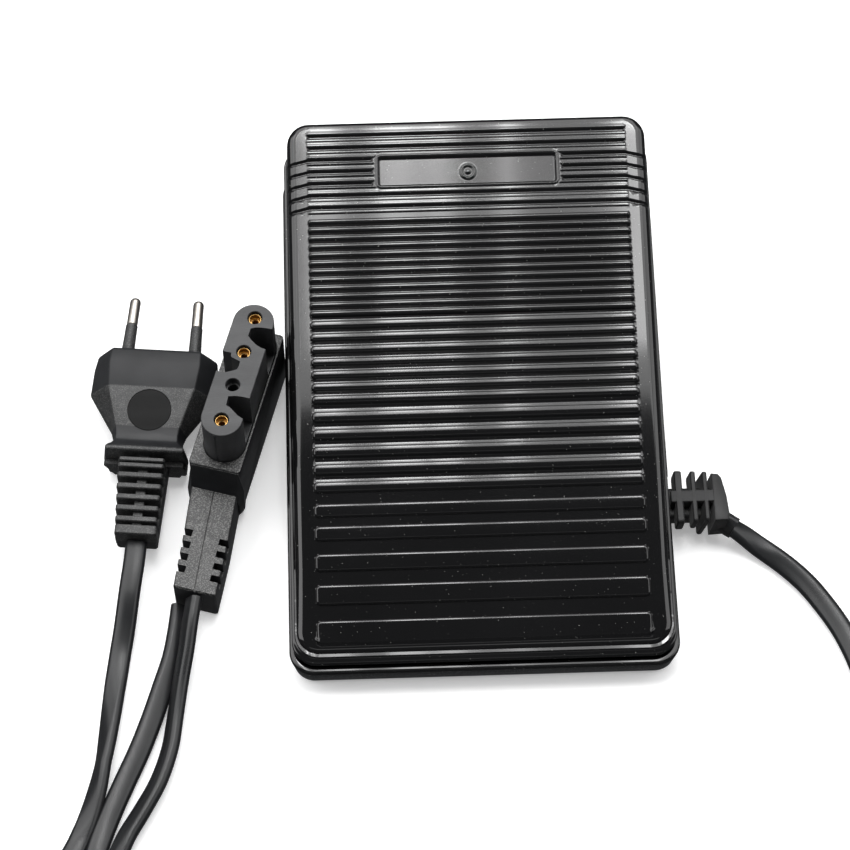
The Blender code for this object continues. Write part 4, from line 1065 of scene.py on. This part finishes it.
def base_posts():
    """Hinge bosses, spring seats and the posts for the clamp, board, switch and potentiometer."""
    sunk = FLOOR_TOP - 0.6
    entry_y = cord_entry_y()
    made = []
    for side in (-1, 1):
        for offset in (-4.5, 4.5):
            middle = side * HINGE_X + offset
            made.append(box_mesh((middle - 1.5, middle + 1.5), (HINGE_Y - 3.2, HINGE_Y + 3.2),
                                 (sunk, HINGE_Z + 2.6)))
        made.append(post_mesh(3.2, side * SPRING_X, SPRING_Y, sunk, 6.0))
        made.append(post_mesh(3.0, CLAMP_X, entry_y + side * CLAMP_REACH, sunk, CLAMP_SEAT_TOP))
        made.append(post_mesh(3.4, side * BUMPER_X, BUMPER_Y, sunk, BUMPER_SEAT_TOP))
        made += [post_mesh(3.0, side * BOARD_POST_X, y, sunk, BOARD_SEAT_TOP)
                 for y in BOARD_POST_Y]
    wall_x, wall_y, wall_top = POT_WALL
    made.append(box_mesh(wall_x, wall_y, (sunk, wall_top)))
    made += [box_mesh((SWITCH_X - 3.2, SWITCH_X + 3.2), (y - 0.9, y + 0.9), (sunk, 8.0))
             for y in SWITCH_POST_Y]
    return merge(*made)


def base():
    def outline(inset):
        return rounded_rectangle(BASE_HALF_W - inset, inset - BASE_HALF_L, BASE_HALF_L - inset,
                                 BASE_CORNER - inset, 16)

    rings = []
    for step in range(7):
        turn = math.radians(90 * step / 6)
        rings.append(ring(outline(BASE_DRAFT + BASE_EDGE * (1 - math.sin(turn))),
                          BASE_BOTTOM + BASE_EDGE * (1 - math.cos(turn))))
    for step in range(8):
        turn = math.radians(90 * step / 7)
        rings.append(ring(outline(BASE_LIP * (1 - math.cos(turn))),
                          lambda y, turn=turn: rim_height(y) - BASE_LIP * (1 - math.sin(turn))))
    rings.append(ring(outline(BASE_WALL - 0.25), rim_height))
    rings.append(ring(outline(BASE_WALL), lambda y: rim_height(y) - 0.25))
    rings.append(ring(outline(BASE_WALL), FLOOR_TOP + 0.6))
    rings.append(ring(outline(BASE_WALL + 0.6), FLOOR_TOP))
    made = place("base_shell", loft_mesh(rings), "black_abs", "base", replaces=("base_tray",))
    entry_y = cord_entry_y()
    slot = box_mesh((BASE_HALF_W - 4, BASE_HALF_W + 4), (entry_y - 6, entry_y + 6),
                    (FLOOR_TOP, 60.0))
    pockets = []
    for name in ("foot_heel_left", "foot_heel_right", "foot_toe_left", "foot_toe_right"):
        low, high = (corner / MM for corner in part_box(name))
        middle = (low + high) / 2
        pockets.append(upright_mesh([(-1.0, 7.5), (2.0, 7.5)], middle.x, middle.y, 40))
    combine(made, "DIFFERENCE", [slot, merge(*pockets)])
    combine(made, "UNION", [base_posts()])
    near, far = POT_WALL[0]
    shaft = rod_mesh(3.5, (near - 1, *PINION_AT), (far + 1, *PINION_AT))
    combine(made, "DIFFERENCE", [merge(*hinge_bores(8.0), shaft)])
    return smooth(made, 35)


# ---------------------------------------------------------------- plug

PLUG_PROFILE = [               # y, half width on top, half width at the waist, half thickness
    (0.0, 11.7, 16.0, 5.4),
    (-0.7, 12.2, 16.6, 5.9),
    (-5.0, 12.4, 17.2, 6.5),
    (-12.3, 11.8, 17.4, 6.8),
    (-12.9, 11.7, 17.4, PLUG_HALF_H),
    (-24.2, 8.7, 10.3, 5.3),
    (-26.4, 8.4, 9.6, 4.8),
    (-28.2, 8.5, 9.6, 4.8),
    (-29.6, 9.4, 10.2, 5.5),
    (-30.8, 10.4, 11.3, 6.7),
    (-31.6, 10.7, 11.5, PLUG_HALF_H),
    (-32.5, 10.4, 11.3, 6.7),
]
PLUG_DISC = (-19.4, 5.9)       # centre and radius of the smooth disc on the rear panel
PLUG_RIB_FIRST = -38.3
PLUG_RIB_PITCH = 3.25
PIN_SPACING = 18.6
PIN_LENGTH = 19.0
PIN_R = 1.5
PIN_ROUND = 1.3                # radius of the round at the pin's tip
PIN_OFFSET = 0.6               # how far both pins sit to the side
PIN_TOE_IN = math.radians(1.6)
SLEEVE_END = 10.2


def pad_mesh(half_w, y_span, z_span, corner, soft=0.25, taper=0.0, middle=0.0):
    """A block across the cord's line with round corners and softened ends."""
    low, high = y_span
    rings = []
    for y, inset, share in ((low, soft, 0), (low + soft, 0, 0), (high - soft, 0, 1),
                            (high, soft, 1)):
        outline = rounded_rectangle(half_w - inset - taper * (1 - share), z_span[0] + inset,
                                    z_span[1] - inset, max(corner - inset, 0.1), 4)
        rings.append([(middle + x, y, z) for x, z in outline])
    return loft_mesh(rings)


def pin_seat(side):
    """From a pin's own frame to the plug's."""
    return (Matrix.Translation((side * PIN_SPACING / 2 + PIN_OFFSET, 0, 0))
            @ Matrix.Rotation(side * PIN_TOE_IN, 4, "Z"))


def plug_tail():
    """Collar, core and ribs of the plug's tail."""
    skirt = []
    for y, grow in ((-31.9, 0.0), (-33.6, 0.0), (-33.9, -0.3)):
        skirt.append([(x + grow * (1 if x > 0 else -1), y, z) for x, z in (
            (10.2, 1.2), (-10.6, 1.2), (-11.4, -0.4), (-9.0, -5.0), (9.2, -5.0), (11.0, -0.8))])
    blocks = [loft_mesh(skirt),
              pad_mesh(6.3, (PLUG_END, -33.0), (-3.9, 0.9), 0.9, 0.4, 0.8),
              pad_mesh(1.35, (PLUG_END + 1.0, -31.0), (0.5, 3.9), 0.3)]
    for rows in ((-35.05, -33.75), (-36.9, -35.5)):
        blocks.append(pad_mesh(6.25, rows, (0.0, 5.7), 0.8, middle=-0.5))
    for rib in range(5):
        toward = PLUG_RIB_FIRST - rib * PLUG_RIB_PITCH
        blocks.append(pad_mesh(6.2 - 0.14 * rib, (toward - 1.6, toward), (0.2, 5.6 - 0.1 * rib),
                               0.8, middle=-0.45 + 0.07 * rib))
    blocks.append(pad_mesh(5.6, (PLUG_END, PLUG_END + 2.75), (-2.0, 5.1), 0.8))
    return blocks


def plug():
    matrix = plug_matrix()
    rings = [[(waist, y, 0), (top, y, thick), (-top, y, thick),
              (-waist, y, 0), (-top, y, -thick), (top, y, -thick)]
             for y, top, waist, thick in PLUG_PROFILE]
    body = place("plug_shell", loft_mesh(rings), "fine_grain_pvc", "base",
                 replaces=("plug_body",))
    bevel(body, 0.5, 3, 24)
    combine(body, "UNION", plug_tail())
    y, radius = PLUG_DISC
    (front, *_, thick_front), (rear, *_, thick_rear) = PLUG_PROFILE[4:6]
    slope = math.atan2(thick_front - thick_rear, front - rear)
    lay = (Matrix.Translation((0, y, thick_front - (front - y) * math.tan(slope)))
           @ Matrix.Rotation(slope, 4, "X"))
    recess = upright_mesh([(-0.35, radius + 0.12), (2.0, radius + 0.12)], 0, 0, 72)
    recess.transform(lay)
    bores = []
    for side in (-1, 1):
        bore = turned_mesh([(-9, 1.6), (3, 1.6)])
        bore.transform(pin_seat(side))
        bores.append(bore)
    combine(body, "DIFFERENCE", [recess, merge(*bores)])
    second_finish(body, "black_pvc", lambda centre, normal: (
        centre.y > -12.6 or -31.0 < centre.y < -24.3 or (centre.y < -37 and centre.z < 0.5)))
    move(body, matrix)
    smooth(body, 40)
    disc = upright_mesh([(-0.30, radius - 0.1), (-0.30, radius), (-0.16, radius),
                         (-0.08, radius - 0.08), (-0.08, 0.5)], 0, 0, 72)
    pieces = [body, place("plug_disc", disc, "disc_pvc", "base",
                          matrix=matrix @ lay)]
    tip = [(PIN_LENGTH - PIN_ROUND * (1 - math.sin(turn)),
            PIN_R - PIN_ROUND * (1 - math.cos(turn)))
           for turn in map(math.radians, (0, 22, 45, 67, 90))]
    metal = [(-8.0, 1.1), (SLEEVE_END - 0.4, 1.1), (SLEEVE_END + 0.02, 1.3),
             (SLEEVE_END + 0.25, PIN_R)] + tip
    sleeve = [(-1.2, 1.4), (-1.2, 2.5), (0.4, 2.3), (1.3, 1.95), (2.8, 1.75), (7.0, 1.65),
              (SLEEVE_END - 0.15, 1.62), (SLEEVE_END, 1.5), (SLEEVE_END, 1.2)]
    for name, side in (("left", -1), ("right", 1)):
        seat = matrix @ pin_seat(side)
        pieces.append(place("pin_" + name, turned_mesh(metal, 40), "nickel", "base", matrix=seat,
                            replaces=("plug_pin_" + name,)))
        pieces.append(place("sleeve_" + name, turned_mesh(sleeve, 40), "fine_grain_pvc", "base",
                            matrix=seat,
                            replaces=("pin_sleeve_" + name,)))
    return pieces


# ---------------------------------------------------------------- machine connector

BODY_HALF_W = 7.1
BODY_Y = (-21.6, 22.4)
BODY_H = 20.0
TOWER_X = 0.8
TOWER_HALF_W = 5.5
TOWER_Y = (-19.2, 22.0)
TOWER_TOP = 34.0
POCKET_DEPTH = 2.0
SOCKET_Y = (17.9, 7.1, -3.4, -14.2)
SOCKET_HOLE_R = 1.95
SOCKET_FLOOR = 21.0
EMPTY_SOCKET = 2               # the hole without a contact, with its narrow lower part
EMPTY_BORE = [(22.0, 1.45), (31.6, 1.45), (31.65, SOCKET_HOLE_R)]
CONTACT = [                    # z and radius of a brass contact, up its outside and down its bore
    (21.3, 1.7), (32.9, 1.7), (33.05, 1.6), (33.05, 1.5), (32.9, 1.42), (31.3, 1.38),
    (31.2, 1.3), (31.2, 0.9), (31.0, 0.82), (24.0, 0.8)]
KEYWAYS = [                    # outlines in the connector's frame, open to the tower's side
    [(0.6, 14.3), (1.5, 14.9), (3.4, 15.4), (9.0, 15.8), (9.0, 9.1), (6.4, 9.1), (4.9, 9.3),
     (3.6, 9.8), (2.0, 10.8), (0.6, 12.0)],
    [(-9.0, 5.9), (-2.3, 5.9), (-2.0, 4.7), (0.7, 3.9), (0.8, 2.6), (0.6, 1.4), (-0.6, 0.6),
     (-2.4, -0.4), (-9.0, -0.2)],
    [(0.6, -7.1), (2.4, -6.5), (4.4, -6.3), (9.0, -6.3), (9.0, -12.7), (6.3, -12.7),
     (4.7, -12.1), (3.4, -11.2), (2.0, -10.2), (0.8, -9.8)],
]
TAIL = [                       # y, sideways shift, half width, top
    (-24.5, 0.4, 6.3, 12.15),
    (-39.0, 2.2, 6.1, 12.0),
    (-54.0, 3.6, 5.8, 11.8),
]


NECK_SHIFT = 0.2
TAIL_SLOTS = [(-1, -36.8, 2.0), (1, -37.6, 1.9)]    # side, first edge along y, width
SLOT_PITCH = 3.55


def stadium(half_w, y_low, y_high, steps=20):
    """Plan outline of a slot with round ends."""
    return (arc(TOWER_X, y_high - half_w, half_w, 0, 180, steps)
            + arc(TOWER_X, y_low + half_w, half_w, 180, 180, steps))


def prism_mesh(outline, low, high):
    return loft_mesh([ring(outline, low), ring(outline, high)])


def tail_at(y):
    """Sideways shift, half width and top of the tail at a place along it."""
    rows = TAIL[::-1]
    return [float(np.interp(y, [row[0] for row in rows], [row[k] for row in rows]))
            for k in (1, 2, 3)]


def connector_body():
    """Box with its pocket for the tower, sloping neck, and tail with slots and a seam."""
    rings = []
    for z, inset in ((0.0, 0.4), (0.4, 0.0), (BODY_H - 0.35, 0.0), (BODY_H - 0.1, 0.1),
                     (BODY_H, 0.35)):
        outline = rounded_rectangle(BODY_HALF_W - inset, BODY_Y[0] + inset, BODY_Y[1] - inset,
                                    1.1 - inset, 5)
        rings.append(ring(outline, z))
    body = place("connector_shell", loft_mesh(rings), "grained_black", "base",
                 replaces=("connector_body",))
    neck = []
    for y, half_top, half_mid, top in ((-18.0, 6.6, 6.9, 19.6), (-21.75, 6.5, 7.7, 19.5),
                                       (-22.8, 6.5, 7.9, 14.0), (-24.3, 6.2, 7.0, 11.2)):
        neck.append([(NECK_SHIFT + x, y, z) for x, z in (
            (half_top, top), (-half_top, top), (-half_mid, top * 0.55), (-half_mid, 3.0),
            (-half_mid + 0.9, 0.2), (half_mid - 0.9, 0.2), (half_mid, 3.0),
            (half_mid, top * 0.55))])
    tail = []
    for y, inset in ((-24.0, 0.0), (-24.5, 0.0), (-39.0, 0.0), (-53.6, 0.0), (-54.0, 0.4)):
        shift, half_w, top = tail_at(y)
        if y > -24.4:
            top -= 1.1
        outline = rounded_rectangle(half_w - inset, 0.3 + inset, top - inset, 0.55, 4)
        tail.append([(shift + x, y, z) for x, z in outline])
    combine(body, "UNION", [loft_mesh(neck), loft_mesh(tail)])

    cuts = [prism_mesh(stadium(TOWER_HALF_W + GAP, TOWER_Y[0] - GAP, TOWER_Y[1] + GAP),
                       BODY_H - POCKET_DEPTH, BODY_H + 2)]
    slots = []
    for side, first, width in TAIL_SLOTS:
        for number in range(4):
            y = first - SLOT_PITCH * number
            shift, half_w, top = tail_at(y - width / 2)
            edge = shift + side * half_w
            span = sorted((edge - side * 2.4, edge + side * 2.0))
            slots.append(box_mesh(span, (y - width, y), (7.6, top + 2)))
    cuts.append(merge(*slots))
    seam = []
    for y in (-24.3, -54.3):
        shift, _, top = tail_at(y)
        seam.append([(shift - 0.16, y, top - 0.5), (shift + 0.16, y, top - 0.5),
                     (shift + 0.16, y, top + 1.0), (shift - 0.16, y, top + 1.0)])
    cuts.append(loft_mesh(seam))
    combine(body, "DIFFERENCE", cuts)
    second_finish(body, "black_pvc", lambda centre, normal: normal.z < 0.7)
    move(body, connector_matrix())
    return smooth(body, 35)


def connector_tower():
    """Upright block with its keyways, holes and a moulding seam at its end."""
    floor = BODY_H - POCKET_DEPTH + GAP
    outline = stadium(TOWER_HALF_W, *TOWER_Y)
    shrunk = stadium(TOWER_HALF_W - 0.15, TOWER_Y[0] + 0.15, TOWER_Y[1] - 0.15)
    tower = place("tower", loft_mesh([ring(outline, floor), ring(outline, TOWER_TOP - 0.15),
                                      ring(shrunk, TOWER_TOP)]),
                  "brushed_pvc", "base", replaces=("connector_tower",))
    seam_x = TOWER_X - 0.6
    combine(tower, "UNION", [box_mesh((seam_x - 0.14, seam_x + 0.14),
                                      (TOWER_Y[0] - 0.12, TOWER_Y[0] + 1.0),
                                      (floor, TOWER_TOP - 0.3))])
    cuts = [prism_mesh(keyway, BODY_H + 0.4, 40.0) for keyway in KEYWAYS]
    mouth = [(TOWER_TOP - 0.12, SOCKET_HOLE_R), (TOWER_TOP + 0.01, SOCKET_HOLE_R + 0.14),
             (40.0, SOCKET_HOLE_R + 0.14)]
    for number, y in enumerate(SOCKET_Y):
        bottom = EMPTY_BORE if number == EMPTY_SOCKET else [(SOCKET_FLOOR, SOCKET_HOLE_R)]
        cuts.append(upright_mesh(bottom + mouth, TOWER_X, y, 48))
    combine(tower, "DIFFERENCE", cuts)
    move(tower, connector_matrix())
    return smooth(tower, 35)


def connector():
    pieces = [connector_body(), connector_tower()]
    filled = [y for number, y in enumerate(SOCKET_Y) if number != EMPTY_SOCKET]
    for number, y in enumerate(filled, 1):
        pieces.append(place("contact_%d" % number, upright_mesh(CONTACT, TOWER_X, y, 48), "brass",
                            "base", matrix=connector_matrix(), replaces=("socket_%d" % number,)))
    return pieces


# ---------------------------------------------------------------- strain relief of the pedal

RELIEF_RIBS = [                # span out along the cord, half width, lean, underside
    ((52.6, 54.6), 7.9, 0.12, 6.4),
    ((56.9, 58.3), 7.7, 0.20, 6.4),
    ((60.1, 61.4), 7.5, 0.24, 2.3),
]
RELIEF_TOP = 11.2
RELIEF_NOSE = [(-4.2, -63.4, 6.2), (-7.15, -68.3, 5.1)]     # round the cord as it leaves
PEDAL_CORD_ROLL = -35          # degrees, how the flat cord is rolled where it leaves the pedal


def leaning(bm, lean):
    """Shear a block so that its lower part leans toward the pedal."""
    for vert in bm.verts:
        vert.co.y += lean * max(0.0, RELIEF_TOP - 1.0 - vert.co.z)
    return bm


def strain_relief():
    """Ribbed grommet: built with the cord's line along -Y, then turned to leave at +X."""
    core = pad_mesh(4.6, (-63.5, -46.9), (FLOOR_TOP + GAP, 7.6), 1.2)
    body = place("relief", core, "dark_rubber", "base", replaces=("strain_relief",))
    blocks = [pad_mesh(8.0, (-48.7, -46.9), (FLOOR_TOP + GAP, 10.4), 1.2)]
    for (near, far), half_w, lean, bottom in RELIEF_RIBS:
        blocks.append(leaning(pad_mesh(half_w, (-far, -near), (bottom, RELIEF_TOP), 0.9, 0.3),
                              lean))
    end = [(6.8, -62.6), (6.6, -64.4), (5.4, -65.3), (0.0, -66.3), (-5.4, -66.7), (-7.4, -66.2),
           (-7.6, -62.6)]
    rings = []
    for z, inset in ((2.2, 0.5), (2.7, 0.0), (RELIEF_TOP - 0.6, 0.0), (RELIEF_TOP - 0.15, 0.2),
                     (RELIEF_TOP, 0.6)):
        rings.append([(x * (1 - inset / 7), -64.0 + (y + 64.0) * (1 - inset / 2.2), z)
                      for x, y in end])
    blocks.append(leaning(loft_mesh(rings), 0.16))
    blocks.append(pad_mesh(1.75, (-63.0, -51.3), (6.6, RELIEF_TOP - 0.02), 0.3))
    start, leave = (Vector(point) for point in RELIEF_NOSE)
    wide, thin = rolled((leave - start).normalized(), math.radians(PEDAL_CORD_ROLL))
    blocks.append(loft_mesh([[tuple(middle + (wide * x + thin * y) * grow)
                              for x, y in flat_section()]
                             for middle, grow in ((start, 1.05), (leave, 1.03))]))
    combine(body, "UNION", blocks)
    second_finish(body, "cord_grey", lambda centre, normal: centre.y < -66.9)
    move(body, Matrix.Translation((0, cord_entry_y(), 0))
         @ Matrix.Rotation(math.radians(90), 4, "Z"))
    return smooth(body, 35)


# ---------------------------------------------------------------- return springs

SPRING_R = 4.4
SPRING_WIRE = 0.6
SPRING_TURNS = 6
SPRING_ENDS = (FLOOR_TOP + 0.9, 33.0)
END_TURN = 0.9                 # share of a turn that lies close at each end
CLOSE_PITCH = 1.4


def springs():
    """Return springs, made at one fixed length and carried by the base."""
    low, high = SPRING_ENDS
    steps = 28
    up = Vector((0, 0, 1))
    for name, side in (("left", -1), ("right", 1)):
        rings = []
        for k in range(SPRING_TURNS * steps + 1):
            turn = k / steps
            close_turns = min(turn, END_TURN) + max(turn - SPRING_TURNS + END_TURN, 0.0)
            open_share = (turn - END_TURN) / (SPRING_TURNS - 2 * END_TURN)
            z = low + CLOSE_PITCH * close_turns
            z += min(max(open_share, 0.0), 1.0) * (high - low - 2 * CLOSE_PITCH * END_TURN)
            out = Vector((math.cos(2 * math.pi * turn), math.sin(2 * math.pi * turn), 0))
            middle = Vector((side * SPRING_X, SPRING_Y, z)) + out * SPRING_R
            rings.append([tuple(middle + out * x + up * y) for x, y in circle(SPRING_WIRE, 12)])
        made = place("return_spring_" + name, loft_mesh(rings), "steel", "base",
                     replaces=("spring_" + name,))
        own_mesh(made)


def carry_over():
    """CAD pieces whose shape is right get their procedural finish."""
    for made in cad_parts.values():
        if made.hide_render:
            continue
        for material_slot in made.material_slots:
            name = material_slot.material.name if material_slot.material else ""
            look = next((key for key in FINISHES if name.startswith(key)), "black_pvc")
            material_slot.material = FINISHES[look]


camera()
studio()
plug_pieces = plug()
connector_pieces = connector()
flat_cord("pedal_cord", PEDAL_FROM_PEDAL, PEDAL_COIL, PEDAL_FROM_CONNECTOR,
          [(0, PEDAL_CORD_ROLL), (14, -28), (60, -8), (-70, 35), (-30, 60), (0.0, 25)],
          stands_for=("pedal_cord_pedal_run", "pedal_coil", "pedal_cord_connector_run"),
          far_end="connector", with_pieces=connector_pieces)
flat_cord("mains_cord", MAINS_FROM_CONNECTOR, MAINS_COIL, MAINS_FROM_PLUG,
          [(0, 30), (60, 10), (-1, 0), (-35, 0), (-62, 62), (-110, 10)],
          stands_for=("mains_cord_connector_run", "mains_coil", "mains_cord_plug_run"),
          far_end="plug", with_pieces=plug_pieces)
coil_tie("mains_coil_tie", MAINS_COIL, math.radians(250))
coil_tie("pedal_coil_tie", PEDAL_COIL, math.radians(60))
lid()
base()
strain_relief()
springs()
carry_over()
